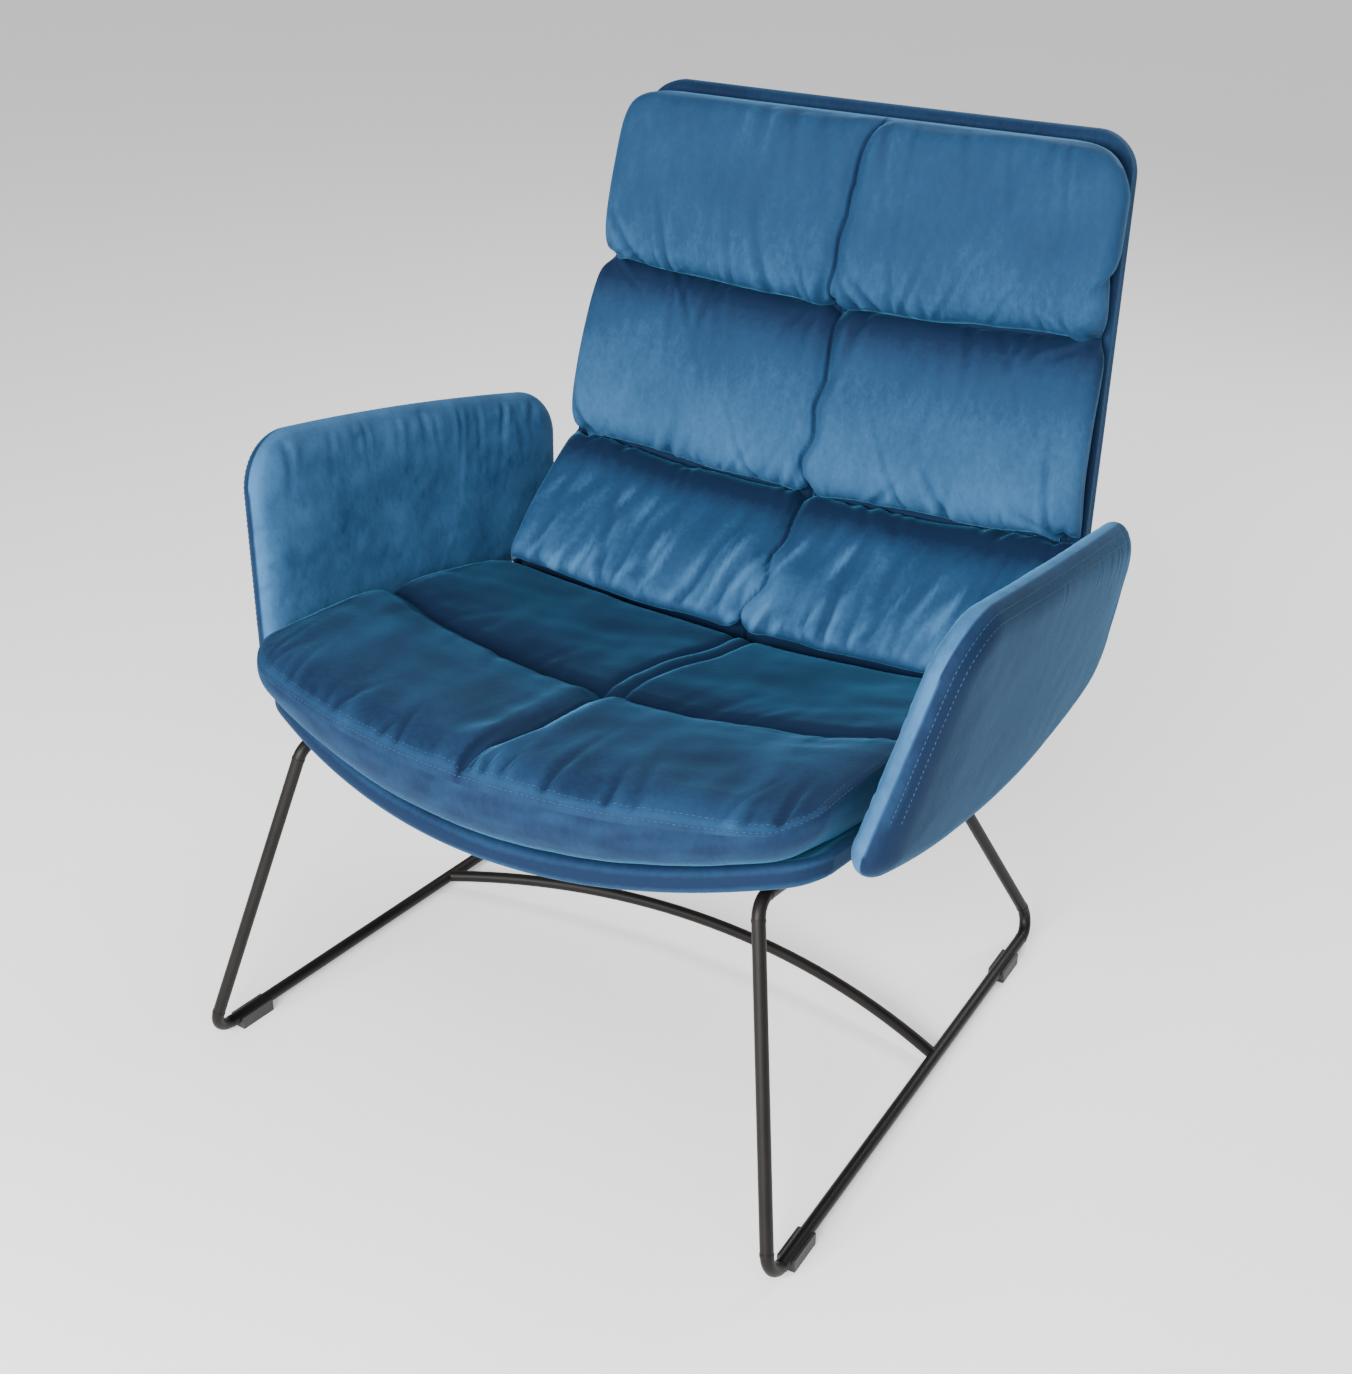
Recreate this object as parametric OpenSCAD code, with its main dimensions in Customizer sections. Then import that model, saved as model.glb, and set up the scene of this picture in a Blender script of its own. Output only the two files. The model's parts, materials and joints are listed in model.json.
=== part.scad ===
// Upholstered lounge armchair: a padded bent shell on a wire sled base, with wing arms,
// a channelled back pad and a loose seat cushion.
// Millimetres. +Z is up, the sitter faces -Y, and X runs across the chair. The origin is on the floor,
// at the middle of the chair's width and depth.

/* [Seat and back shell] */
// Height of the shell's middle layer at the front edge, on the centre line
seat_front_h = 356; // [320:1:400]
// Distance of the shell's front edge behind the front feet
seat_front_y = 34; // [20:1:70]
// Fall of the seat towards the back, in degrees
seat_tilt = 7.4; // [4:0.1:10]
// Depth of the seat along its slope, up to where the back's line crosses it
seat_depth = 639; // [580:1:690]
// Height of the back along its slope, from that crossing
back_length = 692; // [560:1:760]
// Lean of the back from upright, in degrees
back_recline = 15.5; // [10:0.5:20]
// Inner bend of the shell between seat and back, as the radius of its middle layer
shell_bend_r = 110; // [90:1:140]
// Half of the shell's width at the seat
shell_half_w = 342; // [320:1:350]
// Half of the shell's width at its top edge
top_half_w = 310; // [280:1:340]
// Rise of the shell's side edges above its centre line at the front
seat_dish = 60; // [40:1:75]
// How far the back's side edges stand in front of its centre line
back_dish = 20; // [8:1:30]
// How far the front corners lie behind the middle of the front edge
front_crescent = 64; // [30:1:90]
// Radius of the shell's front corners
front_corner_r = 30; // [20:1:45]
// Radius of the shell's top corners
shell_corner_r = 46; // [30:1:60]
// Thickness of the moulded plywood core
core_t = 12; // [9:1:15]
// Thickness of the foam on each side of the core
shell_foam_t = 6; // [4:0.5:10]
// Thickness of the upholstery fabric
fabric_t = 2; // [1.5:0.1:3]

/* [Seat cushion] */
// Height of the cushion's front roll above the shell's middle layer
front_roll_h = 114; // [95:1:125]
// Height of the cushion's rear above the shell's middle layer
cushion_rear_h = 96; // [85:1:105]
// How far the front seam overhangs the shell's front edge
cushion_overhang = 34; // [25:1:50]
// Clearance between the cushion's side and the shell's side edge
cushion_side_gap = 1; // [0:1:40]
// Drop of the cushion's top at its front corners, measured from the dished shell
cushion_side_drop = 41; // [20:1:50]
// Drop of the cushion's top at its rear corners, measured from the dished shell
cushion_rear_drop = 24; // [10:1:35]

/* [Back pad] */
// Bulge of each roll in front of the line between its two channels
roll_bulge = 27; // [10:1:32]
// Depth of the pad at the channels, in front of the shell's middle layer
channel_depth = 42; // [36:1:55]
// Distance from the shell's top edge to the pad's top edge
pad_top_gap = 17; // [10:1:40]
// Height of the upper roll, along the back
upper_roll = 204; // [170:1:230]
// Height of the middle roll, along the back
middle_roll = 220; // [180:1:240]
// How far the channels sag in the middle of the pad's width
channel_sag = 16; // [0:1:24]

/* [Arms] */
// Thickness of the arm panels
arm_t = 46; // [40:1:52]
// Height of the arm's front top corner
arm_front_h = 652; // [600:1:680]
// Height of the arm's rear top corner
arm_rear_h = 566; // [530:1:600]
// Distance from the shell's side edge to the arm's middle, at the arm's lower edge
arm_low_out = 20; // [18:1:38]
// Distance from the shell's side edge to the arm's middle, at the front top corner
arm_top_out = 85; // [60:1:105]
// Distance from the shell's side edge to the arm's middle, at the rear top corner
arm_rear_out = 48; // [38:1:68]

/* [Sled base] */
// Diameter of the steel rod
rod_d = 14; // [12:0.5:16]
// Radius of the rod's bends, on its centre line
bend_r = 22; // [18:1:30]
// Half of the distance between the front feet
front_foot_x = 364; // [330:1:390]
// Half of the distance between the rear feet
rear_foot_x = 328; // [300:1:350]
// Distance from the front feet to the rear feet
runner_length = 707; // [640:1:750]
// Distance of the rails' front ends in from the shell's side edges
rail_front_in = 59; // [42:1:82]
// Distance of the rails' rear ends in from the shell's side edges
rail_rear_in = 80; // [62:1:102]
// Distance of the floor crossbar behind the front feet
crossbar_y = 393; // [340:1:450]
// Bow of the floor crossbar towards the back
crossbar_bow = 68; // [50:1:90]
// Tilt of the bowed crossbar above the floor, in degrees
crossbar_tilt = 18; // [8:1:25]

/* [Fixings] */
// Diameter of the screws' shanks
screw_d = 6; // [5:0.5:8]
// Thickness of the straps that carry the shell
strap_t = 5; // [4:0.5:6]
// Width of the straps
strap_w = 32; // [26:1:40]
// Half of the distance between a strap's screws
strap_screw_x = 120; // [90:1:160]
// Thickness of the arm brackets
bracket_t = 4; // [3:0.5:5]

/* [Hidden] */
$fn = 48;
long_arc_fn = 256;
SIDES = ["left", "right"];
ENDS = ["front", "rear"];
ARM_PARTS = ["core", "inner_foam", "outer_foam", "inner_cover", "outer_cover"];

// Clearances between pieces
weld_gap = 0.1;
rest_gap = 0.4;
hole_gap = 0.5;
thread_gap = 0.1;
soft_gap = 2.2;
tongue_gap = 1.5;

// Height of the rod's centre above the floor, on its glides
glide_under = 6;
rod_r = rod_d / 2;
rod_z = glide_under + rod_r;
glide_length = 46;
glide_wall = 3;
glide_positions = [50, 600];

velvet = "#2f6a92";
velvet_dark = "#24567c";
foam = "#d8cfa8";
plywood = "#c49a6c";
steel_black = "#1e1a18";
plastic_black = "#151515";
zinc = "#b8bcc0";

// Widths that follow the shell's
cushion_half_w = shell_half_w - cushion_side_gap;
arm_low_x = shell_half_w + arm_low_out;
arm_top_x = shell_half_w + arm_top_out;
arm_rear_x = shell_half_w + arm_rear_out;
rail_front_x = shell_half_w - rail_front_in;
rail_rear_x = shell_half_w - rail_rear_in;

// --- The shell's middle layer -------------------------------------------------------------------

bend_turn = 90 - back_recline + seat_tilt;
bend_tangent = shell_bend_r * tan(bend_turn / 2);
bend_length = shell_bend_r * bend_turn * PI / 180;
seat_run = seat_depth - bend_tangent;
back_run = back_length - bend_tangent;
shell_length = seat_run + bend_length + back_run;
back_start = seat_run + bend_length;

function clamp01(t) = min(max(t, 0), 1);
function smooth(t) = let (c = clamp01(t)) c * c * (3 - 2 * c);
function mix(a, b, t) = a + (b - a) * t;

// Direction of the shell's centre line at a distance s from its front edge, in degrees above level
function heading(s) = -seat_tilt + bend_turn * clamp01((s - seat_run) / bend_length);
function along(s) = [cos(heading(s)), sin(heading(s))];
function across(s) = [-sin(heading(s)), cos(heading(s))];

// Point of the centre line, as [y, z] from the front feet
seat_start = [seat_front_y, seat_front_h];
bend_centre = seat_start + seat_run * along(0) + shell_bend_r * across(0);
bend_end = bend_centre - shell_bend_r * across(shell_length);
function centre_line(s) =
    s < seat_run ? seat_start + s * along(0) :
    s < back_start ? bend_centre - shell_bend_r * across(s) :
    bend_end + (s - back_start) * along(s);

// Rise of the side edges, and how far they lag behind the centre line
dish_fade_start = 250;
function dish(s) = mix(seat_dish, back_dish, smooth((s - dish_fade_start) / (back_start - dish_fade_start)));
function lag(s) = front_crescent * (1 - smooth(s / seat_run));

// The chair's reach to the back and to the front sets where the origin lies
back_y = centre_line(shell_length - shell_corner_r)[0] + shell_corner_r * sin(back_recline);
mid_y = back_y / 2;

// Point of the shell at x, at a distance s from the front edge and n above the middle layer
function shell_point(x, s, n = 0) =
    let (
        q = pow(x / shell_half_w, 2),
        t = s + lag(s) * q,
        p = centre_line(t) + (n + dish(s) * q) * across(t)
    )
    [x, p[0] - mid_y, p[1]];

// --- Panels made of layers ----------------------------------------------------------------------
// A panel is a grid of rows and columns with a front and a back skin. Each layer of it takes its two
// faces from the same grid, so that layers meet face to face. A share of 0 is the back skin, 1 the front.

function level(i, j, last_row, last_col) = min(min(i, last_row - i), min(j, last_col - j));
function pick(list, at) = list[min(at, len(list) - 1)];
function face(front, back, skip, shares) =
    let (last_row = len(front) - 1, last_col = len(front[0]) - 1)
    [for (i = [skip:last_row - skip])
        [for (j = [skip:last_col - skip])
            mix(back[i][j], front[i][j], pick(shares, level(i, j, last_row, last_col)))]];
function flatten(rows) = [for (row = rows) each row];

// Closed solid between two grids of points
module slab(top, bottom) {
    rows = len(top);
    cols = len(top[0]);
    count = rows * cols;
    ring = concat(
        [for (j = [0:cols - 1]) j],
        [for (i = [1:rows - 1]) i * cols + cols - 1],
        [for (j = [cols - 2:-1:0]) (rows - 1) * cols + j],
        [for (i = [rows - 2:-1:1]) i * cols]
    );
    cells = [for (i = [0:rows - 2]) for (j = [0:cols - 2]) i * cols + j];
    polyhedron(
        points = concat(flatten(top), flatten(bottom)),
        faces = concat(
            [for (c = cells) each [[c, c + cols, c + 1], [c + 1, c + cols, c + cols + 1]]],
            [for (c = cells) each [[count + c, count + c + 1, count + c + cols],
                                   [count + c + 1, count + c + cols + 1, count + c + cols]]],
            [for (k = [0:len(ring) - 1])
                let (a = ring[k], b = ring[(k + 1) % len(ring)])
                each [[a, b, count + a], [b, count + b, count + a]]]
        ),
        convexity = 6
    );
}

// One layer of a panel, from the share low to the share high
module layer(panel, skip, low, high) {
    slab(face(panel[0], panel[1], skip, high), face(panel[0], panel[1], skip, low));
}

// How far a rounded corner of radius r pulls a side in, at a distance d from the corner's end
function corner_inset(d, r) = d >= r ? 0 : r - sqrt(r * r - pow(r - d, 2));

// --- Shell --------------------------------------------------------------------------------------

shell_t = core_t + 2 * shell_foam_t + 2 * fabric_t;
edge_steps = [0, 0.15, 0.5, 1];
function both_ends(length, r, last_r, middle) = concat(
    [for (e = edge_steps) e * r],
    middle,
    [for (k = [len(edge_steps) - 1:-1:0]) length - edge_steps[k] * last_r]
);
shell_rows = both_ends(shell_length, front_corner_r, shell_corner_r, concat(
    [for (t = [0.3, 0.55, 0.8, 1]) t * seat_run],
    [for (t = [0.2, 0.4, 0.6, 0.8, 1]) seat_run + t * bend_length],
    [for (t = [0.28, 0.56, 0.8]) back_start + t * back_run]
));
shell_columns = [-1, -0.975, -0.92, -0.76, -0.5, -0.25, 0, 0.25, 0.5, 0.76, 0.92, 0.975, 1];
taper_start = back_start + 0.25 * back_run;
function shell_half(s) =
    mix(shell_half_w, top_half_w, clamp01((s - taper_start) / (shell_length - taper_start)))
    - corner_inset(s, front_corner_r) - corner_inset(shell_length - s, shell_corner_r);
function shell_skin(n) = [for (s = shell_rows)
    [for (u = shell_columns) shell_point(u * shell_half(s), s, n)]];
shell_panel = [shell_skin(shell_t / 2), shell_skin(-shell_t / 2)];

// Shares of the shell's thickness where its layers meet, at the seam, beside it and everywhere else
seam_half = 0.25;
beside_seam = 0.42;
cover_share = fabric_t / shell_t;
core_half_share = core_t / shell_t / 2;
hair = 0.004;

// Places of the straps and of the holes through the shell
strap_s = [110, 430];
strap_holes = [for (s = strap_s) for (x = [-strap_screw_x, strap_screw_x]) [x, s]];
bracket_s = 262;
bracket_pitch = 40;
bracket_in = 34;
bracket_holes = [for (x = [-1, 1]) for (k = [-1, 1])
    [x * (shell_half_w - bracket_in), bracket_s + k * bracket_pitch / 2]];
nut_r = 10;
nut_flange_t = 1.5;

// Puts its children at a point of the shell, with X across, Y along and Z out of the inner face
module at_shell(x, s) {
    step = 1;
    p = shell_point(x, s);
    v = shell_point(x, s + step) - p;
    w = shell_point(x + step, s) - p;
    ez = cross(w, v) / norm(cross(w, v));
    ey = v / norm(v);
    ex = cross(ey, ez);
    multmatrix([
        [ex[0], ey[0], ez[0], p[0]],
        [ex[1], ey[1], ez[1], p[1]],
        [ex[2], ey[2], ez[2], p[2]],
        [0, 0, 0, 1]
    ]) children();
}
module shell_bores(holes, r, low, high) {
    for (h = holes) at_shell(h[0], h[1]) translate([0, 0, low]) cylinder(r = r, h = high - low);
}

module shell_core() {
    color(plywood) difference() {
        layer(shell_panel, 2, [0.5 - core_half_share], [0.5 + core_half_share]);
        shell_bores(strap_holes, nut_barrel_r + hole_gap, -shell_t, shell_t);
        shell_bores(strap_holes, nut_r + hole_gap, core_t / 2, shell_t);
        shell_bores(bracket_holes, screw_d / 2 + thread_gap, -shell_t, shell_t);
    }
}
module shell_inner_foam() {
    rim = beside_seam - cover_share;
    color(foam) difference() {
        layer(
            shell_panel, 1,
            [0.5, 0.5 + hair, 0.5 + core_half_share + hair],
            [0.5, 0.5 + rim, 1 - cover_share - hair]
        );
        shell_bores(strap_holes, nut_r + hole_gap, 0, core_t / 2 + nut_flange_t + hole_gap);
    }
}
module shell_outer_foam() {
    rim = beside_seam - cover_share;
    color(foam) difference() {
        layer(
            shell_panel, 1,
            [0.5, 0.5 - rim, cover_share + hair],
            [0.5, 0.5 - hair, 0.5 - core_half_share - hair]
        );
        shell_bores(concat(strap_holes, bracket_holes), screw_d / 2 + hole_gap, -shell_t, 0);
    }
}
module shell_inner_cover() {
    color(velvet) layer(
        shell_panel, 0,
        [0.5 + hair, 0.5 + beside_seam - cover_share + hair, 1 - cover_share],
        [0.5 + seam_half, 0.5 + beside_seam, 1]
    );
}
module shell_outer_cover() {
    color(velvet) difference() {
        layer(
            shell_panel, 0,
            [0.5 - seam_half, 0.5 - beside_seam, 0],
            [0.5 - hair, 0.5 - beside_seam + cover_share - hair, cover_share]
        );
        shell_bores(concat(strap_holes, bracket_holes), screw_d / 2 + hole_gap, -shell_t, 0);
    }
}

// --- Fixings between the straps and the shell ---------------------------------------------------

nut_barrel_r = 4.5;
screw_head_r = 6;
screw_head_t = 3.5;
spot_face = 1;
strap_n = -shell_t / 2 - rest_gap;
module shell_tee_nuts() {
    color(zinc) for (h = strap_holes) at_shell(h[0], h[1]) difference() {
        union() {
            translate([0, 0, core_t / 2 + 0.1]) cylinder(r = nut_r, h = nut_flange_t);
            translate([0, 0, 0]) cylinder(r = nut_barrel_r, h = core_t / 2 + 0.2);
        }
        translate([0, 0, -1]) cylinder(r = screw_d / 2 + thread_gap, h = core_t);
    }
}
module strap_screws(s) {
    color(steel_black) for (x = [-strap_screw_x, strap_screw_x])
        at_shell(x, s) headed_screw(strap_n - strap_t + spot_face, -strap_n + strap_t + core_t / 2);
}

// --- Base ---------------------------------------------------------------------------------------

// Rod along straight runs through points, closed into a loop, with each corner bent to radius bend
module rod_between(a, b, r) {
    d = b - a;
    l = norm(d);
    translate(a) rotate([0, acos(d[2] / l), atan2(d[1], d[0])]) cylinder(r = r, h = l);
}
module rod_bend(corner, before, after, bend, r) {
    d1 = (corner - before) / norm(corner - before);
    d2 = (after - corner) / norm(after - corner);
    turn = acos(d1 * d2);
    start = corner - d1 * bend * tan(turn / 2);
    up = cross(d1, d2) / norm(cross(d1, d2));
    out = cross(d1, up);
    centre = start - out * bend;
    multmatrix([
        [out[0], d1[0], up[0], centre[0]],
        [out[1], d1[1], up[1], centre[1]],
        [out[2], d1[2], up[2], centre[2]],
        [0, 0, 0, 1]
    ]) rotate_extrude(angle = turn) translate([bend, 0]) circle(r = r);
}
function trimmed(corner, before, after, bend) =
    let (
        d1 = (corner - before) / norm(corner - before),
        d2 = (after - corner) / norm(after - corner)
    )
    bend * tan(acos(d1 * d2) / 2);
module rod_loop(points, bend, r) {
    n = len(points);
    cut = [for (k = [0:n - 1]) trimmed(points[k], points[(k + n - 1) % n], points[(k + 1) % n], bend)];
    for (k = [0:n - 1]) {
        a = points[k];
        b = points[(k + 1) % n];
        d = (b - a) / norm(b - a);
        start = a + d * cut[k];
        end = b - d * cut[(k + 1) % n];
        rod_between(start, end, r);
        rod_bend(a, points[(k + n - 1) % n], b, bend, r);
        for (p = [start, end]) rod_between(p - d * collar_half, p + d * collar_half, r + collar_rise);
    }
}

// Thin collars cover the rings where straight runs and bends meet
collar_half = 1.5;
collar_rise = 0.4;

// The right sled's corners: front foot, rear foot, rear top and front top
rail_n = strap_n - strap_t - rod_r + 0.6;
rail_s = [58, 511];
front_corner_y = -12;
function foot(x, y) = [x, y - mid_y, rod_z];
sled_corners = [
    foot(front_foot_x, front_corner_y),
    foot(rear_foot_x, front_corner_y + runner_length),
    shell_point(rail_rear_x, rail_s[1] - lag(rail_s[1]) * pow(rail_rear_x / shell_half_w, 2), rail_n),
    shell_point(rail_front_x, rail_s[0] - lag(rail_s[0]) * pow(rail_front_x / shell_half_w, 2), rail_n)
];
function runner_x(y) = mix(front_foot_x, rear_foot_x, (y - front_corner_y) / runner_length);
runner_turn = atan2(front_foot_x - rear_foot_x, runner_length);

module on_side(side) {
    if (side == "left") mirror([1, 0, 0]) children();
    else children();
}
module rail(r) {
    rod_between(sled_corners[3], sled_corners[2], r);
}
module runner(r) {
    rod_between(sled_corners[0], sled_corners[1], r);
}
module sled(side) {
    color(steel_black) on_side(side) rod_loop(sled_corners, bend_r, rod_r);
}

// Bowed bar between the two runners, coped to their round sides
module floor_crossbar() {
    half = runner_x(crossbar_y);
    r = (half * half + crossbar_bow * crossbar_bow) / (2 * crossbar_bow);
    sweep = asin(half / r);
    color(steel_black) difference() {
        translate([0, crossbar_y - mid_y, rod_z]) rotate([crossbar_tilt, 0, 0])
            translate([0, crossbar_bow - r, 0]) rotate([0, 0, 90 - sweep])
                rotate_extrude(angle = 2 * sweep, $fn = long_arc_fn)
                translate([r, 0]) circle(r = rod_r, $fn = 48);
        for (side = SIDES) on_side(side) {
            runner(rod_r + weld_gap);
            translate([half, crossbar_y - mid_y - 2 * rod_d, 0]) cube([3 * rod_d, 4 * rod_d, 4 * rod_d]);
        }
    }
}

// Flat strap bent to the shell's dish, welded onto the two upper rails
module strap(k) {
    s = strap_s[k];
    reach = mix(rail_front_x, rail_rear_x, (s - rail_s[0]) / (rail_s[1] - rail_s[0])) + rod_r;
    rise = dish(s + strap_w / 2) * pow(reach / shell_half_w, 2);
    r = (reach * reach + rise * rise) / (2 * rise);
    sweep = asin(reach / r);
    low = shell_point(0, s, strap_n);
    color(steel_black) difference() {
        translate(low) rotate([heading(s) - 90, 0, 0]) translate([0, -r, -strap_w / 2])
            rotate([0, 0, 90 - sweep]) rotate_extrude(angle = 2 * sweep, $fn = long_arc_fn)
                translate([r, 0]) square([strap_t, strap_w]);
        for (side = SIDES) on_side(side) rail(rod_r + weld_gap);
        for (x = [-strap_screw_x, strap_screw_x]) at_shell(x, s) {
            translate([0, 0, strap_n - 2 * strap_t]) cylinder(r = screw_d / 2 + hole_gap, h = 4 * strap_t);
            translate([0, 0, strap_n - 3 * strap_t])
                cylinder(r = screw_head_r + hole_gap, h = 2 * strap_t + spot_face);
        }
    }
}

// Clip-on glide: a block with a half-round seat for the runner
module glide(end, side) {
    y = glide_positions[end == "front" ? 0 : 1];
    w = rod_d + 2 * glide_wall;
    color(plastic_black) on_side(side) difference() {
        translate([runner_x(y), y - mid_y, 0]) rotate([0, 0, runner_turn])
            translate([-w / 2, -glide_length / 2, 0]) cube([w, glide_length, rod_z + 2]);
        runner(rod_r + weld_gap);
    }
}

// --- Back pad -----------------------------------------------------------------------------------

// Points of an arc from a to b that bulges to the left of the line between them, without its last point
function bulged(a, b, bulge, shares) =
    let (d = b - a, side = [d[1], -d[0]] / norm(d))
    [for (t = shares) a + d * t + side * bulge * 4 * t * (1 - t)];

pad_top_s = shell_length - pad_top_gap;
channel_s = [pad_top_s - upper_roll, pad_top_s - upper_roll - middle_roll];
function off_shell(s, n) = centre_line(s) + n * across(s);
pad_top = off_shell(pad_top_s, channel_depth + 6);
pad_channels = [for (s = channel_s) off_shell(s, channel_depth)];
cushion_rear_s = 492;
pad_foot_s = cushion_rear_s + 30;
pad_low = off_shell(cushion_rear_s, cushion_rear_h) + [9, 8];
pad_under = off_shell(cushion_rear_s, 40) + [17, 0];
pad_bottom = off_shell(pad_foot_s, shell_t / 2 + 6);
roll_shares = [0, 0.08, 0.28, 0.5, 0.72, 0.92];
pad_front_line = concat(
    bulged(pad_top, pad_channels[0], roll_bulge, roll_shares),
    bulged(pad_channels[0], pad_channels[1], roll_bulge, roll_shares),
    bulged(pad_channels[1], pad_low, roll_bulge, [0, 0.08, 0.3, 0.6, 0.85]),
    [pad_low, pad_under, pad_bottom]
);
function spread(a, b, n) = [for (k = [0:n - 1]) mix(a, b, k / n)];
pad_rear_s = concat(
    spread(pad_top_s, channel_s[0], len(roll_shares)),
    spread(channel_s[0], channel_s[1], len(roll_shares)),
    spread(channel_s[1], pad_foot_s, 7),
    [pad_foot_s]
);
pad_columns = [-1, -0.97, -0.86, -0.62, -0.3, 0, 0.3, 0.62, 0.86, 0.97, 1];
pad_side_gap = -3;
pad_corner_r = 50;

// How much of the shell's dish the pad's front follows: above, beside the cushion's rear and at the foot
pad_dish_shares = [0.4, 0.85, 1];
function pad_half(i) =
    min(shell_half(min(pad_rear_s[i], shell_length - shell_corner_r)), shell_half_w) - pad_side_gap
    - corner_inset(max(pad_top_s - pad_rear_s[i], 2), pad_corner_r);
function pad_sag(i) = channel_sag * clamp01(min(i, len(pad_front_line) - 4 - i) / 5);
function pad_dish(i) = dish(pad_rear_s[i]) * pick(pad_dish_shares, max(i - len(pad_front_line) + 3, 0));
function pad_front_point(i, u) =
    let (
        s = pad_rear_s[i],
        sag = pad_sag(i) * (1 - u * u),
        p = pad_front_line[i] - sag * along(shell_length) + pad_dish(i) * u * u * across(s)
    )
    [u * pad_half(i), p[0] - mid_y, p[1]];
pad_front_skin = [for (i = [0:len(pad_front_line) - 1]) [for (u = pad_columns) pad_front_point(i, u)]];
pad_rear_skin = [for (i = [0:len(pad_rear_s) - 1])
    [for (u = pad_columns) shell_point(u * pad_half(i), pad_rear_s[i], shell_t / 2 + soft_gap)]];
pad_panel = [pad_front_skin, pad_rear_skin];
pad_cover = 0.05;
pad_seam = 0.6;
pad_beside_front = 0.95;
pad_beside_rear = 0.1;

module back_pad_filling() {
    color(foam) layer(
        pad_panel, 1,
        [pad_seam, pad_beside_rear + pad_cover + hair, pad_cover + hair],
        [pad_seam, pad_beside_front - pad_cover - hair, 1 - pad_cover - hair]
    );
}
module back_pad_front_cover() {
    color(velvet) layer(
        pad_panel, 0,
        [pad_seam + hair, pad_beside_front - pad_cover, 1 - pad_cover],
        [pad_seam + 0.08, pad_beside_front, 1]
    );
}
module back_pad_rear_cover() {
    color(velvet_dark) layer(
        pad_panel, 0,
        [pad_seam - 0.08, pad_beside_rear, 0],
        [pad_seam - hair, pad_beside_rear + pad_cover, pad_cover]
    );
}

// --- Seat cushion -------------------------------------------------------------------------------

// Rows of the cushion: where its top and its bottom lie along the shell, and the top's height
cushion_rows = [
    // [top s, bottom s, top height as a share of the way from the rear's height to the front roll's]
    [-cushion_overhang, 12, -0.18],
    [-cushion_overhang + 8, 16, 0.28],
    [0, 34, 0.78],
    [45, 66, 0.95],
    [100, 110, 1],
    [155, 155, 1],
    [205, 205, 0.84],
    [250, 250, 0.42],
    [345, 345, 0.14],
    [425, 425, 0],
    [cushion_rear_s - 10, cushion_rear_s - 10, -0.25],
    [cushion_rear_s, cushion_rear_s, -0.9]
];
cushion_columns = [-1, -0.97, -0.87, -0.66, -0.35, 0, 0.35, 0.66, 0.87, 0.97, 1];
cushion_corner_r = 30;
cushion_base_n = shell_t / 2 + soft_gap;
function cushion_half(s) =
    cushion_half_w - corner_inset(min(s + cushion_overhang, cushion_rear_s - s), cushion_corner_r);
function cushion_point(row, u, s, n) = shell_point(u * cushion_half(row[0]), s, n);
function cushion_drop(s) = mix(cushion_side_drop, cushion_rear_drop, smooth(s / cushion_rear_s));
function cushion_top_n(row, u) =
    mix(cushion_rear_h, front_roll_h, row[2])
    - cushion_drop(row[0]) * pow(u * cushion_half(row[0]) / cushion_half_w, 2);
cushion_top_skin = [for (row = cushion_rows) [for (u = cushion_columns)
    cushion_point(row, u, row[0], cushion_top_n(row, u))]];
cushion_base_skin = [for (row = cushion_rows) [for (u = cushion_columns)
    cushion_point(row, u, row[1], cushion_base_n)]];
cushion_panel = [cushion_top_skin, cushion_base_skin];
border_seam = 0.9;
border_high = 0.96;
border_low = 0.08;
cushion_cover = 0.025;

module seat_cushion_filling() {
    color(foam) layer(
        cushion_panel, 1,
        [border_seam, border_low + cushion_cover + hair, cushion_cover + hair],
        [border_seam, border_high - cushion_cover - hair, 1 - cushion_cover - hair]
    );
}
module seat_cushion_top_cover() {
    color(velvet) layer(
        cushion_panel, 0,
        [border_seam + hair, border_high - cushion_cover, 1 - cushion_cover],
        [border_seam + cushion_cover, border_high, 1]
    );
}
module seat_cushion_border_cover() {
    color(velvet_dark) layer(
        cushion_panel, 0,
        [border_seam - 2 * cushion_cover, border_low, 0],
        [border_seam - hair, border_low + cushion_cover, cushion_cover]
    );
}

// --- Arms ---------------------------------------------------------------------------------------

// The arm's outline seen from the side, as [y, z] from the front feet
arm_front_low = [128, 392];
arm_front_top = [194, arm_front_h];
arm_rear_top = [702, arm_rear_h];
arm_rear_low = [668, 392];
arm_low_sag = 33;
arm_low_belly = 7;
arm_low_flare = 8;
arm_top_bulge = 6;
arm_bow = 10;
arm_edge = 0.11;
arm_edge_length = 55;
arm_low_radii = [30, 60];
arm_top_radii = [50, 52];
arm_lean = 12;
arm_rows = both_ends(1, arm_edge, arm_edge, [0.3, 0.5, 0.7]);
arm_columns = [0, 0.025, 0.075, 0.22, 0.42, 0.64, 0.84, 0.93, 0.975, 1];

// How far the rounded corners pull the arm's lower or upper edge in
function arm_inset(t, radii) =
    corner_inset(t / arm_edge * arm_edge_length, radii[0])
    + corner_inset((1 - t) / arm_edge * arm_edge_length, radii[1]);

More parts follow.
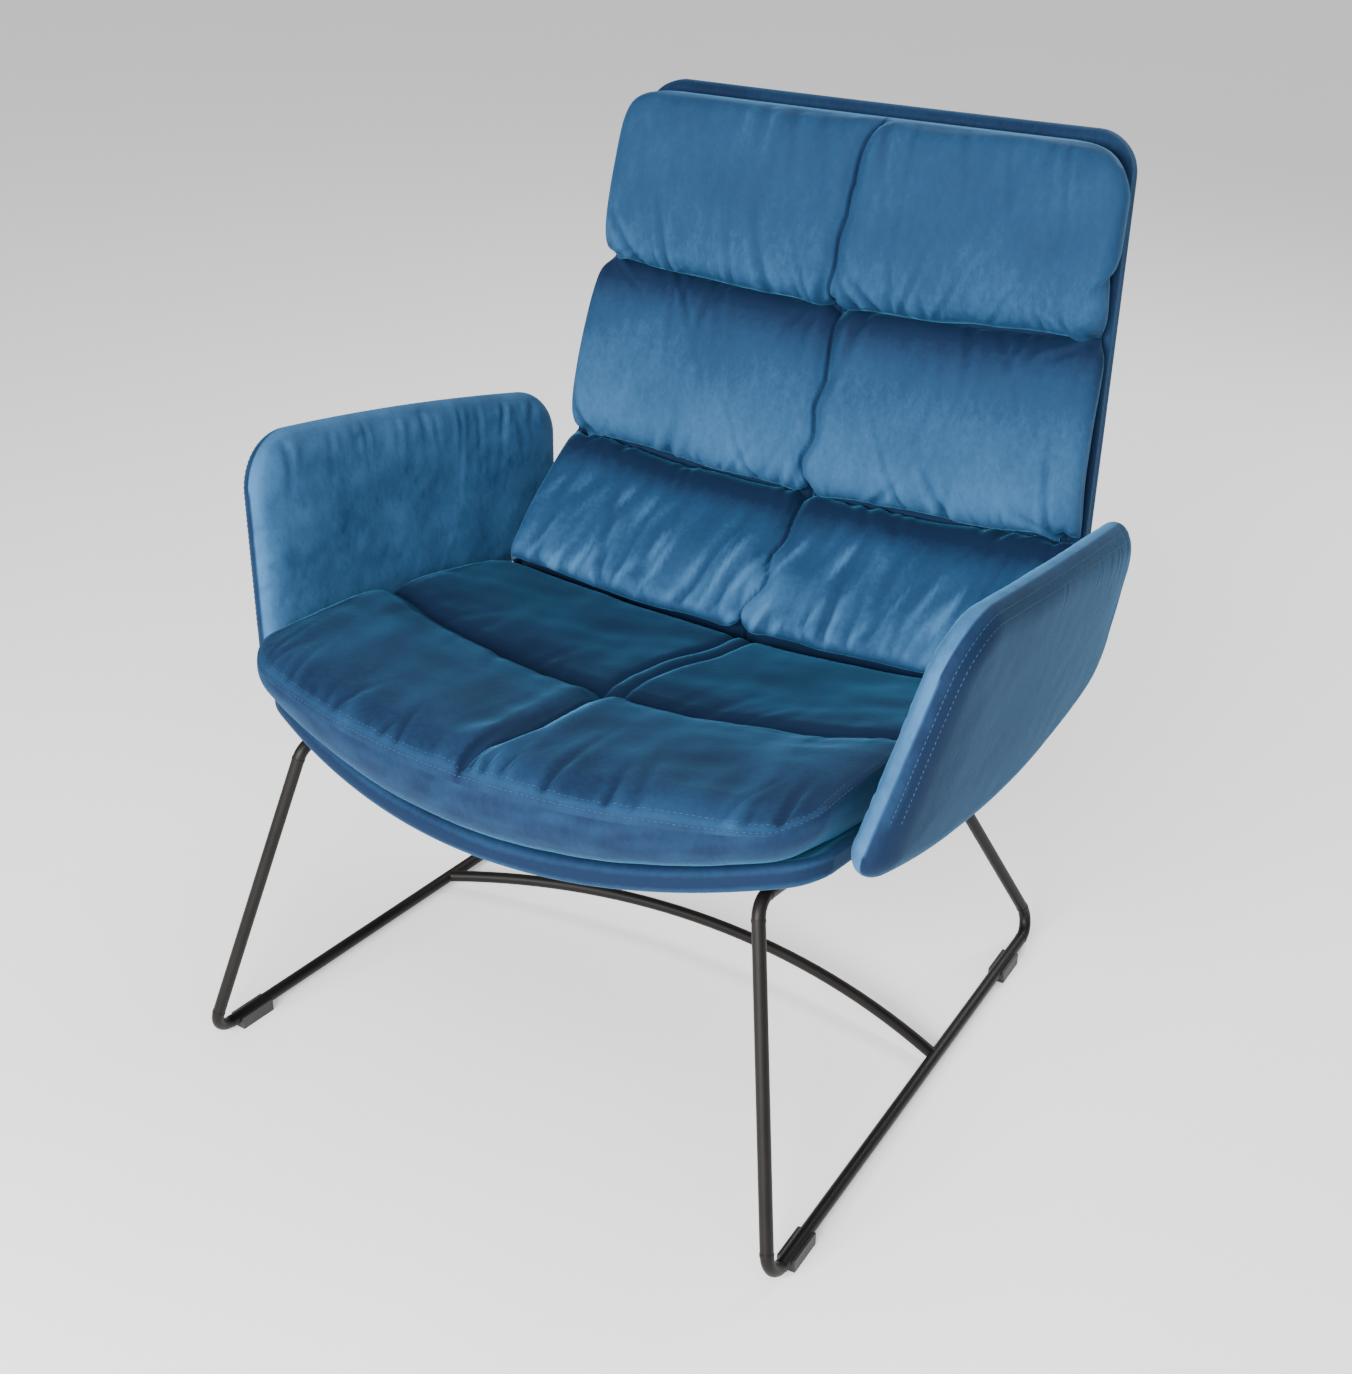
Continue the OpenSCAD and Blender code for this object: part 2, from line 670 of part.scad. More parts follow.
// Point of the arm's middle layer, t from front to rear and v from bottom to top, moved n outwards
function arm_point(t, v, n) =
    let (
        arch = 4 * t * (1 - t),
        low = mix(arm_front_low, arm_rear_low, t) - [0, arm_low_sag * arch],
        high = mix(arm_front_top, arm_rear_top, t) + [0, arm_top_bulge * arch],
        height = norm(high - low),
        w = mix(arm_inset(t, arm_low_radii) / height, 1 - arm_inset(t, arm_top_radii) / height, v),
        p = mix(low, high, w),
        low_x = arm_low_x + arm_low_flare * t + arm_low_belly * arch,
        x = mix(low_x, mix(arm_top_x, arm_rear_x, t) + arm_bow * arch, w)
    )
    [x + n * cos(arm_lean), p[0] - mid_y, p[1] - n * sin(arm_lean)];
function arm_skin(n) = [for (t = arm_rows) [for (v = arm_columns) arm_point(t, v, n)]];
arm_panel = [arm_skin(arm_t / 2), arm_skin(-arm_t / 2)];
arm_core_share = core_t / arm_t;
arm_cover_share = fabric_t / arm_t;

// Puts its children at a point of the right arm's middle layer, with X to the rear and Z outwards
module at_arm(t, v) {
    step = 0.01;
    p = arm_point(t, v, 0);
    ez = [cos(arm_lean), 0, -sin(arm_lean)];
    back = arm_point(t + step, v, 0) - arm_point(t - step, v, 0);
    flat = back - ez * (back * ez);
    ex = flat / norm(flat);
    ey = cross(ez, ex);
    multmatrix([
        [ex[0], ey[0], ez[0], p[0]],
        [ex[1], ey[1], ez[1], p[1]],
        [ex[2], ey[2], ez[2], p[2]],
        [0, 0, 0, 1]
    ]) children();
}
bracket_t_place = 0.36;
bracket_v_place = 0.13;
module arm_bores(r, low, high) {
    at_arm(bracket_t_place, bracket_v_place) for (k = [-1, 1])
        translate([k * bracket_pitch / 2, 0, low]) cylinder(r = r, h = high - low);
}
module arm_part(side, skip, low, high, bore = 0) {
    on_side(side) difference() {
        layer(arm_panel, skip, low, high);
        if (bore > 0) arm_bores(bore, -arm_t, core_t / 2 + 1);
    }
}
module arm_core(side) {
    color(plywood) arm_part(
        side, 2,
        [0.5 - arm_core_share / 2],
        [0.5 + arm_core_share / 2],
        screw_d / 2 + thread_gap
    );
}
module arm_inner_foam(side) {
    rim = beside_seam - arm_cover_share - hair;
    color(foam) arm_part(
        side, 1,
        [0.5, 0.5 - rim, arm_cover_share + hair],
        [0.5, 0.5 - hair, 0.5 - arm_core_share / 2 - hair],
        screw_d / 2 + hole_gap
    );
}
module arm_outer_foam(side) {
    rim = beside_seam - arm_cover_share - hair;
    color(foam) arm_part(
        side, 1,
        [0.5, 0.5 + hair, 0.5 + arm_core_share / 2 + hair],
        [0.5, 0.5 + rim, 1 - arm_cover_share - hair]
    );
}
module arm_inner_cover(side) {
    color(velvet) arm_part(
        side, 0,
        [0.5 - seam_half, 0.5 - beside_seam, 0],
        [0.5 - hair, 0.5 - beside_seam + arm_cover_share, arm_cover_share],
        screw_d / 2 + hole_gap
    );
}
module arm_outer_cover(side) {
    color(velvet) arm_part(
        side, 0,
        [0.5 + hair, 0.5 + beside_seam - arm_cover_share, 1 - arm_cover_share],
        [0.5 + seam_half, 0.5 + beside_seam, 1]
    );
}

// Angle bracket under the shell's side edge, with a tongue up the arm's inner face
bracket_length = bracket_pitch + 24;
leg_inward = 18;
tongue_low = 37;
tongue_high = 12;
bracket_n = -shell_t / 2 - rest_gap;
tongue_n = -arm_t / 2 - tongue_gap;
module arm_bracket(side) {
    x = shell_half_w - bracket_in;
    color(steel_black) on_side(side) difference() {
        union() {
            at_shell(x, bracket_s) translate([-leg_inward, -bracket_length / 2, bracket_n - bracket_t])
                cube([leg_inward + 2 * bracket_in, bracket_length, bracket_t]);
            at_arm(bracket_t_place, bracket_v_place)
                translate([-bracket_length / 2, -tongue_low, tongue_n - bracket_t])
                cube([bracket_length, tongue_low + tongue_high, bracket_t]);
        }
        at_arm(bracket_t_place, bracket_v_place) translate([-bracket_length, -bracket_length, tongue_n])
            cube(2 * bracket_length);
        for (k = [-1, 1]) at_shell(x, bracket_s + k * bracket_pitch / 2)
            translate([0, 0, bracket_n - 2 * bracket_t])
                cylinder(r = screw_d / 2 + hole_gap, h = 4 * bracket_t);
        arm_bores(screw_d / 2 + hole_gap, -arm_t, 0);
    }
}
module headed_screw(face_n, shank) {
    translate([0, 0, face_n - screw_head_t - weld_gap]) cylinder(r = screw_head_r, h = screw_head_t);
    translate([0, 0, face_n - screw_head_t]) cylinder(r = screw_d / 2, h = shank);
}
module arm_screws(side) {
    x = shell_half_w - bracket_in;
    color(steel_black) on_side(side) {
        for (k = [-1, 1]) at_shell(x, bracket_s + k * bracket_pitch / 2)
            headed_screw(bracket_n - bracket_t, -bracket_n + bracket_t + core_t / 2);
        at_arm(bracket_t_place, bracket_v_place) for (k = [-1, 1])
            translate([k * bracket_pitch / 2, 0, 0])
                headed_screw(tongue_n - bracket_t, -tongue_n + bracket_t + core_t / 2);
    }
}

sled("left");  // sled_left
sled("right");  // sled_right
floor_crossbar();
strap(0);  // front_strap
strap(1);  // rear_strap
for (e = ENDS) for (s = SIDES) glide(e, s);
strap_screws(strap_s[0]);  // front_shell_screws
strap_screws(strap_s[1]);  // rear_shell_screws
shell_tee_nuts();
shell_core();
shell_inner_foam();
shell_outer_foam();
shell_inner_cover();
shell_outer_cover();
back_pad_filling();
back_pad_front_cover();
back_pad_rear_cover();
seat_cushion_filling();
seat_cushion_top_cover();
seat_cushion_border_cover();
for (s = SIDES) arm_core(s);
for (s = SIDES) arm_inner_foam(s);
for (s = SIDES) arm_outer_foam(s);
for (s = SIDES) arm_inner_cover(s);
for (s = SIDES) arm_outer_cover(s);
for (s = SIDES) arm_bracket(s);
for (s = SIDES) arm_screws(s);
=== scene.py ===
"""Looks of the upholstered lounge armchair: velvet shell, back pad, seat cushion and arms on a wire base.

Design sizes are in millimetres: x across, y back from the front feet and z up from the floor. MID_Y moves
them to the chair's own frame, whose origin is on the floor under its middle.
"""

import json
import math

import bpy
import numpy as np
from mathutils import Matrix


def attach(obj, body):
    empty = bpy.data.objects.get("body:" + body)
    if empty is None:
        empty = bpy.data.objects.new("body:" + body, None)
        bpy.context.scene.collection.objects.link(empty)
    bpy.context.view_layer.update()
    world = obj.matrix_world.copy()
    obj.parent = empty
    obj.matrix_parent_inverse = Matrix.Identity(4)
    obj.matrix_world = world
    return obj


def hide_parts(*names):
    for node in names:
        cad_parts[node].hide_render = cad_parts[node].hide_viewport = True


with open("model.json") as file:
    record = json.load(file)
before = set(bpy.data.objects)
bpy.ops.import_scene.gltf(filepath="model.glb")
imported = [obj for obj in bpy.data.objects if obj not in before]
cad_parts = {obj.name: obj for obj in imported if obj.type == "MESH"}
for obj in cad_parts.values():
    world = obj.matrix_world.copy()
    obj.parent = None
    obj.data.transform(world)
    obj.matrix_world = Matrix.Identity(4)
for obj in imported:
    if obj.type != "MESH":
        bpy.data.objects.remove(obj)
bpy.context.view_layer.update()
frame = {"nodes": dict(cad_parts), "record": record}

MM = 0.001

# --- Shell layout, as in the CAD part ---
# s runs along the shell's middle line, from the seat's front edge through the bend to the top of the
# back. n is the distance in front of that line, towards the sitter.

# y and z of the seat's front edge
SEAT_START = np.array([34.0, 356.0])
# degrees that the seat falls to the rear, and that the back leans from upright
SEAT_TILT = 7.4
RECLINE = 15.5
# lengths of the seat and the back, to where their straight lines would meet
SEAT_DEPTH = 639.0
BACK_SLOPE = 692.0
BEND_R = 110.0
HALF_W = 342.0
TOP_HALF_W = 310.0
# how far the side edges stand in front of the middle, and the s where that starts to lessen
SEAT_DISH = 60.0
BACK_DISH = 20.0
DISH_FADE = 250.0
# how far the front edge sweeps back at its ends
CRESCENT = 64.0
FRONT_CORNER_R = 30.0
TOP_CORNER_R = 46.0
SHELL_T = 28.0
# share of the back's straight stretch that is below its taper
TAPER_SHARE = 0.25

BEND_TURN = 90 - RECLINE + SEAT_TILT
BEND_TANGENT = BEND_R * math.tan(math.radians(BEND_TURN / 2))
BEND_LENGTH = BEND_R * math.radians(BEND_TURN)
SEAT_RUN = SEAT_DEPTH - BEND_TANGENT
BACK_START = SEAT_RUN + BEND_LENGTH
LENGTH = BACK_START + BACK_SLOPE - BEND_TANGENT
TAPER_START = BACK_START + TAPER_SHARE * (LENGTH - BACK_START)


def smooth(t):
    """A smooth step, from 0 below t = 0 to 1 above t = 1."""
    c = np.clip(t, 0, 1)
    return c * c * (3 - 2 * c)


def gauss(x):
    """A round bump, 1 at x = 0 and almost 0 beyond 2."""
    return np.exp(-x * x)


def mix(a, b, t):
    return a + (b - a) * t


def heading(s):
    """Angle of the shell's middle line above level, in radians."""
    return np.radians(-SEAT_TILT + BEND_TURN * np.clip((s - SEAT_RUN) / BEND_LENGTH, 0, 1))


def along(s):
    """Unit vector along the middle line, as y and z."""
    return np.stack([np.cos(heading(s)), np.sin(heading(s))], -1)


def across(s):
    """Unit vector out of the shell's front face, as y and z."""
    return np.stack([-np.sin(heading(s)), np.cos(heading(s))], -1)


BEND_CENTRE = SEAT_START + SEAT_RUN * along(0.0) + BEND_R * across(0.0)
BEND_END = BEND_CENTRE - BEND_R * across(LENGTH)


def centre_line(s):
    """Points of the middle line, as y and z."""
    s = np.asarray(s, float)
    seat = SEAT_START + s[..., None] * along(np.zeros_like(s))
    bend = BEND_CENTRE - BEND_R * across(s)
    back = BEND_END + (s - BACK_START)[..., None] * along(s)
    return np.where((s < SEAT_RUN)[..., None], seat, np.where((s < BACK_START)[..., None], bend, back))


def dish(s):
    """How far the side edges stand in front of the middle."""
    return mix(SEAT_DISH, BACK_DISH, smooth((s - DISH_FADE) / (BACK_START - DISH_FADE)))


def lag(s):
    """How far the side edges lie behind the middle, for the seat's crescent front."""
    return CRESCENT * (1 - smooth(s / SEAT_RUN))


def shell_half(s):
    """Half the shell's width, which tapers towards the top."""
    return mix(HALF_W, TOP_HALF_W, np.clip((s - TAPER_START) / (LENGTH - TAPER_START), 0, 1))


# half way from the front feet to the rearmost point of the top edge
TOP_CORNER_Y = centre_line(np.array(LENGTH - TOP_CORNER_R))[0]
MID_Y = (TOP_CORNER_Y + TOP_CORNER_R * math.sin(math.radians(RECLINE))) / 2


def shell_point(x, s, n):
    """Points at a distance n in front of the shell's middle layer, at x and s, in the chair's frame."""
    x, s, n = np.broadcast_arrays(np.asarray(x, float), np.asarray(s, float), np.asarray(n, float))
    q = (x / HALF_W) ** 2
    t = s + lag(s) * q
    p = centre_line(t) + (n + dish(s) * q)[..., None] * across(t)
    return np.stack([x, p[..., 0] - MID_Y, p[..., 1]], -1)


# --- Grids and meshes ---

# power that crowds a grid's rows towards an edge
CROWDING = 1.7
# a crease's ridges: their distance from its valley in widths, and their heights as shares of its depth
RIDGE_AT = 1.25
RIDGES = (0.55, 0.45)
# how far a crease still shows before the line that it leaves
CREASE_START = 9.0


def spaced(low, high, step, edge, count, both=True):
    """Values a step apart from low to high, with count closer ones over a length edge at each end.

    Without both, only the low end has the closer ones.
    """
    ramp = edge * (np.arange(count) / count) ** CROWDING
    end = high - edge if both else high
    middle = np.linspace(low + edge, end, max(2, int(round((end - low - edge) / step)) + 1))
    rest = (high - ramp[::-1]) if both else np.array([])
    return np.concatenate([low + ramp, middle, rest])


def refined(values, low, high, step):
    """The same values, with more of them between low and high."""
    kept = values[(values < low) | (values > high)]
    return np.sort(np.concatenate([kept, np.linspace(low, high, int((high - low) / step) + 1)]))


def corner_inset(d, r):
    """How far a corner of radius r cuts in, at a distance d from its end."""
    return r - np.sqrt(np.maximum(r * r - np.maximum(r - d, 0) ** 2, 0))


def corner_distance(side, end, r):
    """Distance to the outline of a rounded corner, from the distances to its two sides."""
    a = np.maximum(r - side, 0)
    b = np.maximum(r - end, 0)
    inside = np.where((a > 0) & (b > 0), r - np.hypot(a, b), np.minimum(side, end))
    return np.maximum(inside, 0)


def rounding(d, r, power=2.0):
    """A quarter-round profile: 0 at the rim, 1 from a distance r on."""
    c = 1 - np.clip(d / r, 0, 1)
    return (1 - c**power) ** (1 / power)


def field(a, b, size, seed, terms=14):
    """A smooth random field over a and b, mostly within -1.5 to 1.5, with waves of about a size."""
    rng = np.random.default_rng(seed)
    total = np.zeros(np.broadcast(a, b).shape)
    for _ in range(terms):
        angle = rng.uniform(0, math.tau)
        k = math.tau / (size * rng.uniform(0.7, 1.5))
        total += np.cos(k * (a * math.cos(angle) + b * math.sin(angle)) + rng.uniform(0, math.tau))
    return total / math.sqrt(terms)


def creases(a, b, seed, count, span, depth, width, reach, skew):
    """Short folds that leave the line b = 0 at random places along a, towards growing b.

    span, depth, width and reach are the least and most of each fold's place, depth, width and length,
    and skew is the most that it leans.
    """
    rng = np.random.default_rng(seed)
    total = np.zeros(np.broadcast(a, b).shape)
    for _ in range(count):
        place = rng.uniform(*span)
        lean = rng.uniform(-skew, skew)
        w = rng.uniform(*width)
        length = rng.uniform(*reach)
        h = rng.uniform(*depth)
        offset = (a - place - lean * b) / w
        fade = np.exp(-((np.maximum(b, 0) / length) ** 1.5)) * np.where(b < 0, gauss(b / CREASE_START), 1)
        ridges = RIDGES[0] * gauss(offset - RIDGE_AT) + RIDGES[1] * gauss(offset + RIDGE_AT)
        total += h * fade * (ridges - gauss(offset))
    return total


def smooth_line(xs, ys, blur):
    """A line through points, blurred over a length blur, as a function."""
    grid = np.arange(xs[0] - 5 * blur, xs[-1] + 5 * blur, 1.0)
    values = np.interp(grid, xs, ys)
    kernel = gauss(np.arange(-3 * blur, 3 * blur + 1) / blur)
    padded = np.pad(values, len(kernel) // 2, mode="edge")
    values = np.convolve(padded, kernel / kernel.sum(), mode="valid")[: len(grid)]
    return lambda x: np.interp(x, grid, values)


def spline(points, count):
    """Evenly numbered points of a Catmull-Rom curve through the given ones."""
    p = np.asarray(points, float)
    p = np.concatenate([[2 * p[0] - p[1]], p, [2 * p[-1] - p[-2]]])
    t = np.linspace(0, len(points) - 1, count)
    k = np.minimum(t.astype(int), len(points) - 2)
    f = (t - k)[:, None]
    a, b, c, d = p[k], p[k + 1], p[k + 2], p[k + 3]
    return 0.5 * (2 * b + (c - a) * f + (2 * a - 5 * b + 4 * c - d) * f**2 + (3 * b - a - 3 * c + d) * f**3)


def normals_of(grid):
    """Unit normals of a grid of points."""
    du = np.gradient(grid, axis=1)
    dv = np.gradient(grid, axis=0)
    n = np.cross(du, dv)
    return n / np.maximum(np.linalg.norm(n, axis=-1, keepdims=True), 1e-9)


def quads_of(index):
    """The faces between the points of a grid of indices."""
    return np.stack([index[:-1, :-1], index[:-1, 1:], index[1:, 1:], index[1:, :-1]], -1).reshape(-1, 4)


def pillow(name, front, back, nap_and_shading_front, nap_and_shading_back, material):
    """A closed piece from a front and a back grid, in millimetres, which share their rim."""
    rows, cols = front.shape[:2]
    index = np.arange(rows * cols).reshape(rows, cols)
    rim = np.ones((rows, cols), bool)
    rim[1:-1, 1:-1] = False
    back_index = index.copy()
    back_index[~rim] = rows * cols + np.arange((~rim).sum())
    verts = np.concatenate([front.reshape(-1, 3), back[~rim]]) * MM
    # the back's faces go round the other way
    faces = np.concatenate([quads_of(index), quads_of(back_index)[:, [0, 3, 2, 1]]])
    nap_and_shading = np.concatenate([nap_and_shading_front.reshape(-1), nap_and_shading_back[~rim]])
    return build(name, verts, faces, nap_and_shading, material)


def build(name, verts, faces, nap_and_shading, material):
    """A smooth-shaded mesh object in metres, with each vertex's nap and painted shading where that is given.
    """
    mesh = bpy.data.meshes.new(name)
    mesh.vertices.add(len(verts))
    mesh.vertices.foreach_set("co", np.asarray(verts, np.float32).ravel())
    size = faces.shape[1]
    mesh.loops.add(faces.size)
    mesh.loops.foreach_set("vertex_index", faces.astype(np.int32).ravel())
    mesh.polygons.add(len(faces))
    mesh.polygons.foreach_set("loop_start", np.arange(0, faces.size, size, dtype=np.int32))
    mesh.update(calc_edges=True)
    mesh.validate()
    if nap_and_shading is not None:
        layer = mesh.attributes.new("nap_and_shading", "FLOAT", "POINT")
        layer.data.foreach_set("value", np.asarray(nap_and_shading, np.float32))
    mesh.shade_smooth()
    mesh.materials.append(material)
    piece = bpy.data.objects.new(name, mesh)
    bpy.context.scene.collection.objects.link(piece)
    return piece


def stitches(name, line, outward, material, pitch=6.0, length=4.0, radius=0.42, lift=0.2):
    """A row of thread stitches along a line of points, standing a little proud of the cloth."""
    steps = np.linalg.norm(np.diff(line, axis=0), axis=1)
    run = np.concatenate([[0], np.cumsum(steps)])
    starts = np.arange(pitch / 2, run[-1] - length, pitch)
    # a stitch's rings: their places as shares of its length, their sizes and dips as shares of its radius
    rings = np.array([0.0, 0.18, 0.5, 0.82, 1.0])
    sizes = np.array([0.35, 0.85, 1.0, 0.85, 0.35])
    dips = np.array([-1.0, -0.15, 0.0, -0.15, -1.0])
    sides = 6
    verts = []
    faces = []
    for start in starts:
        at = start + rings * length
        p = np.stack([np.interp(at, run, line[:, k]) for k in range(3)], -1)
        up = np.stack([np.interp(at, run, outward[:, k]) for k in range(3)], -1)
        up /= np.linalg.norm(up, axis=1, keepdims=True)
        ahead = p[-1] - p[0]
        ahead /= np.linalg.norm(ahead)
        across_stitch = np.cross(ahead, up)
        base = len(verts)
        for k in range(len(rings)):
            for m in range(sides):
                turn = math.tau * m / sides
                spoke = math.cos(turn) * across_stitch[k] + math.sin(turn) * up[k]
                verts.append(p[k] + up[k] * (lift + dips[k] * radius) + spoke * radius * sizes[k])
        for k in range(len(rings) - 1):
            for m in range(sides):
                a = base + k * sides + m
                b = base + k * sides + (m + 1) % sides
                faces.append((a, b, b + sides, a + sides))
    return build(name, np.array(verts) * MM, np.array(faces), None, material)


# --- Materials ---


def node_tree(name):
    """A new material, with its tree and its shader."""
    material = bpy.data.materials.new(name)
    material.use_nodes = True
    tree = material.node_tree
    return material, tree, tree.nodes["Principled BSDF"]


def noise_node(tree, scale, detail, rough=0.55, stretch=(1, 1, 1)):
    """Noise over the object's own coordinates, which are in metres."""
    place = tree.nodes.new("ShaderNodeTexCoord")
    mapping = tree.nodes.new("ShaderNodeMapping")
    mapping.inputs["Scale"].default_value = stretch
    noise = tree.nodes.new("ShaderNodeTexNoise")
    noise.inputs["Scale"].default_value = scale
    noise.inputs["Detail"].default_value = detail
    noise.inputs["Roughness"].default_value = rough
    tree.links.new(place.outputs["Object"], mapping.inputs["Vector"])
    tree.links.new(mapping.outputs["Vector"], noise.inputs["Vector"])
    return noise.outputs["Fac"]


def math_node(tree, kind, a, b):
    node = tree.nodes.new("ShaderNodeMath")
    node.operation = kind
    for socket, value in zip(node.inputs, (a, b)):
        if isinstance(value, (int, float)):
            socket.default_value = value
        else:
            tree.links.new(value, socket)
    return node.outputs[0]


def scaled(tree, value, amount, base):
    """A value times an amount, on top of a base."""
    return math_node(tree, "ADD", math_node(tree, "MULTIPLY", value, amount), base)


def ramp_node(tree, value, stops):
    ramp = tree.nodes.new("ShaderNodeValToRGB")
    elements = ramp.color_ramp.elements
    while len(elements) < len(stops):
        elements.new(0.5)
    for element, (place, colour) in zip(elements, stops):
        element.position = place
        element.color = (*colour, 1)
    tree.links.new(value, ramp.inputs["Fac"])
    return ramp.outputs["Color"]


def bump_node(tree, height, strength, distance, normal=None):
    bump = tree.nodes.new("ShaderNodeBump")
    bump.inputs["Strength"].default_value = strength
    bump.inputs["Distance"].default_value = distance
    tree.links.new(height, bump.inputs["Height"])
    if normal is not None:
        tree.links.new(normal, bump.inputs["Normal"])
    return bump.outputs["Normal"]


VELVET_DARK = (0.0016, 0.012, 0.041)
VELVET_MID = (0.009, 0.043, 0.106)
VELVET_LIGHT = (0.037, 0.118, 0.248)
# how much the velvet's noises move the nap: patches of a hand's width, mottling, and single tufts
PATCHES_SHARE = 0.04
MOTTLE_SHARE = 0.40
PILE_SHARE = 0.10


def velvet(name):
    """Short-pile velvet: the nap_and_shading attribute, which holds the nap's own marks together with
    painted light and shade, and mottling move it between dark, mid and light blue.
    """
    material, tree, shader = node_tree(name)
    nap_and_shading = tree.nodes.new("ShaderNodeAttribute")
    nap_and_shading.attribute_name = "nap_and_shading"
    patches = noise_node(tree, 7, 2, 0.5)
    mottle = noise_node(tree, 150, 6, 0.75, (1, 1, 0.55))
    pile = noise_node(tree, 1500, 2, 0.7)
    # the noises average a half, so half of their shares comes off first
    value = math_node(tree, "ADD", nap_and_shading.outputs["Fac"], -(PATCHES_SHARE + MOTTLE_SHARE + PILE_SHARE) / 2)
    for noise, share in ((patches, PATCHES_SHARE), (mottle, MOTTLE_SHARE), (pile, PILE_SHARE)):
        value = math_node(tree, "ADD", value, math_node(tree, "MULTIPLY", noise, share))
    colour = ramp_node(tree, value, [(0.05, VELVET_DARK), (0.5, VELVET_MID), (0.95, VELVET_LIGHT)])
    tree.links.new(colour, shader.inputs["Base Color"])
    tree.links.new(scaled(tree, mottle, 0.12, 0.74), shader.inputs["Roughness"])
    shader.inputs["Specular IOR Level"].default_value = 0.18
    shader.inputs["Sheen Weight"].default_value = 0.4
    shader.inputs["Sheen Roughness"].default_value = 0.32
    shader.inputs["Sheen Tint"].default_value = (0.09, 0.36, 0.66, 1)
    soft = bump_node(tree, mottle, 0.4, 0.0012)
    tree.links.new(bump_node(tree, pile, 0.35, 0.0004, soft), shader.inputs["Normal"])
    return material


def coated_steel(name, colour, rough):
    """Satin powder coat on steel, with a fine orange-peel texture and faint handling marks."""
    material, tree, shader = node_tree(name)
    marks = noise_node(tree, 14, 4)
    peel = noise_node(tree, 900, 2)
    light = tuple(c * 1.8 + 0.001 for c in colour)
    tree.links.new(ramp_node(tree, marks, [(0.35, colour), (0.75, light)]), shader.inputs["Base Color"])
    tree.links.new(scaled(tree, marks, 0.18, rough - 0.09), shader.inputs["Roughness"])
    shader.inputs["Specular IOR Level"].default_value = 0.22
    tree.links.new(bump_node(tree, peel, 0.2, 0.0002), shader.inputs["Normal"])
    return material


def moulded_plastic(name):
    """Black moulded plastic with a fine grain and pale scuffs."""
    material, tree, shader = node_tree(name)
    grain = noise_node(tree, 700, 3)
    scuffs = noise_node(tree, 40, 4)
    colours = [(0.4, (0.012, 0.012, 0.013)), (0.8, (0.035, 0.034, 0.033))]
    tree.links.new(ramp_node(tree, scuffs, colours), shader.inputs["Base Color"])
    tree.links.new(scaled(tree, scuffs, 0.2, 0.5), shader.inputs["Roughness"])
    tree.links.new(bump_node(tree, grain, 0.3, 0.0003), shader.inputs["Normal"])
    return material


def zinc(name):
    """Zinc plate with a faint spangle."""
    material, tree, shader = node_tree(name)
    spangle = noise_node(tree, 220, 3)
    colours = [(0.3, (0.45, 0.46, 0.48)), (0.7, (0.66, 0.67, 0.69))]
    tree.links.new(ramp_node(tree, spangle, colours), shader.inputs["Base Color"])
    shader.inputs["Metallic"].default_value = 1.0
    tree.links.new(scaled(tree, spangle, 0.2, 0.3), shader.inputs["Roughness"])
    return material


def grained(name, noise, tones, rough, bump):
    """A material with one noise that sets both its tone and its bump."""
    material, tree, shader = node_tree(name)
    grain = noise_node(tree, *noise)
    tree.links.new(ramp_node(tree, grain, tones), shader.inputs["Base Color"])
    shader.inputs["Roughness"].default_value = rough
    tree.links.new(bump_node(tree, grain, *bump), shader.inputs["Normal"])
    return material


def plywood(name):
    """Pale plywood with a long grain."""
    tones = [(0.3, (0.42, 0.25, 0.12)), (0.7, (0.62, 0.42, 0.24))]
    return grained(name, (30, 6, 0.6, (12, 1, 1)), tones, 0.6, (0.2, 0.0003))


def foam(name):
    """Open-cell upholstery foam."""
    tones = [(0.35, (0.55, 0.50, 0.34)), (0.7, (0.78, 0.73, 0.54))]
    return grained(name, (800, 4), tones, 0.9, (0.6, 0.0008))


def thread(name):
    """Twisted sewing thread, about as dark as the velvet."""
    tones = [(0.3, (0.004, 0.022, 0.05)), (0.75, (0.016, 0.07, 0.13))]
    return grained(name, (1200, 2, 0.5, (1, 1, 3)), tones, 0.55, (0.5, 0.0003))


VELVET = {part: velvet(f"{part}_velvet_look") for part in ("shell", "pad", "cushion", "arm")}
THREAD = thread("thread_look")
CAD_LOOKS = {
    "base_steel": coated_steel("base_steel_look", (0.003, 0.0023, 0.002), 0.48),
    "screw_steel": coated_steel("screw_steel_look", (0.02, 0.02, 0.021), 0.4),
    "glide_plastic": moulded_plastic("glide_plastic_look"),
    "nut_steel": zinc("nut_steel_look"),
    "plywood": plywood("plywood_look"),
    "foam": foam("foam_look"),
}

# --- Shell ---

# gap between a cover and the layer below it
COVER_GAP = 2.2
# the padded edge's radius, and the welt and the seam round it by their distances from the outline
SHELL_EDGE_R = 13.0
WELT_D = 3.0
WELT_OUT = 3.0
SHELL_SEAM_D = 17.0
SHELL_SEAM_DEPTH = 1.6
SHELL_FOLDS = dict(count=40, span=(200, LENGTH), depth=(0.3, 1.0), width=(3, 6), reach=(12, 30), skew=0.3)


def shell_grid():
    """x, s and the distance to the outline, over the whole shell."""
    s = spaced(0, LENGTH, step=9, edge=30, count=14)
    u = spaced(-1, 1, step=0.028, edge=0.09, count=12)
    s, u = np.meshgrid(s, u, indexing="ij")
    r = np.where(s < LENGTH / 2, FRONT_CORNER_R, TOP_CORNER_R)
    end = np.minimum(s, LENGTH - s)
    half = shell_half(s)
    x = u * (half - corner_inset(end, r))
    return x, s, corner_distance(half - np.abs(x), end, r)


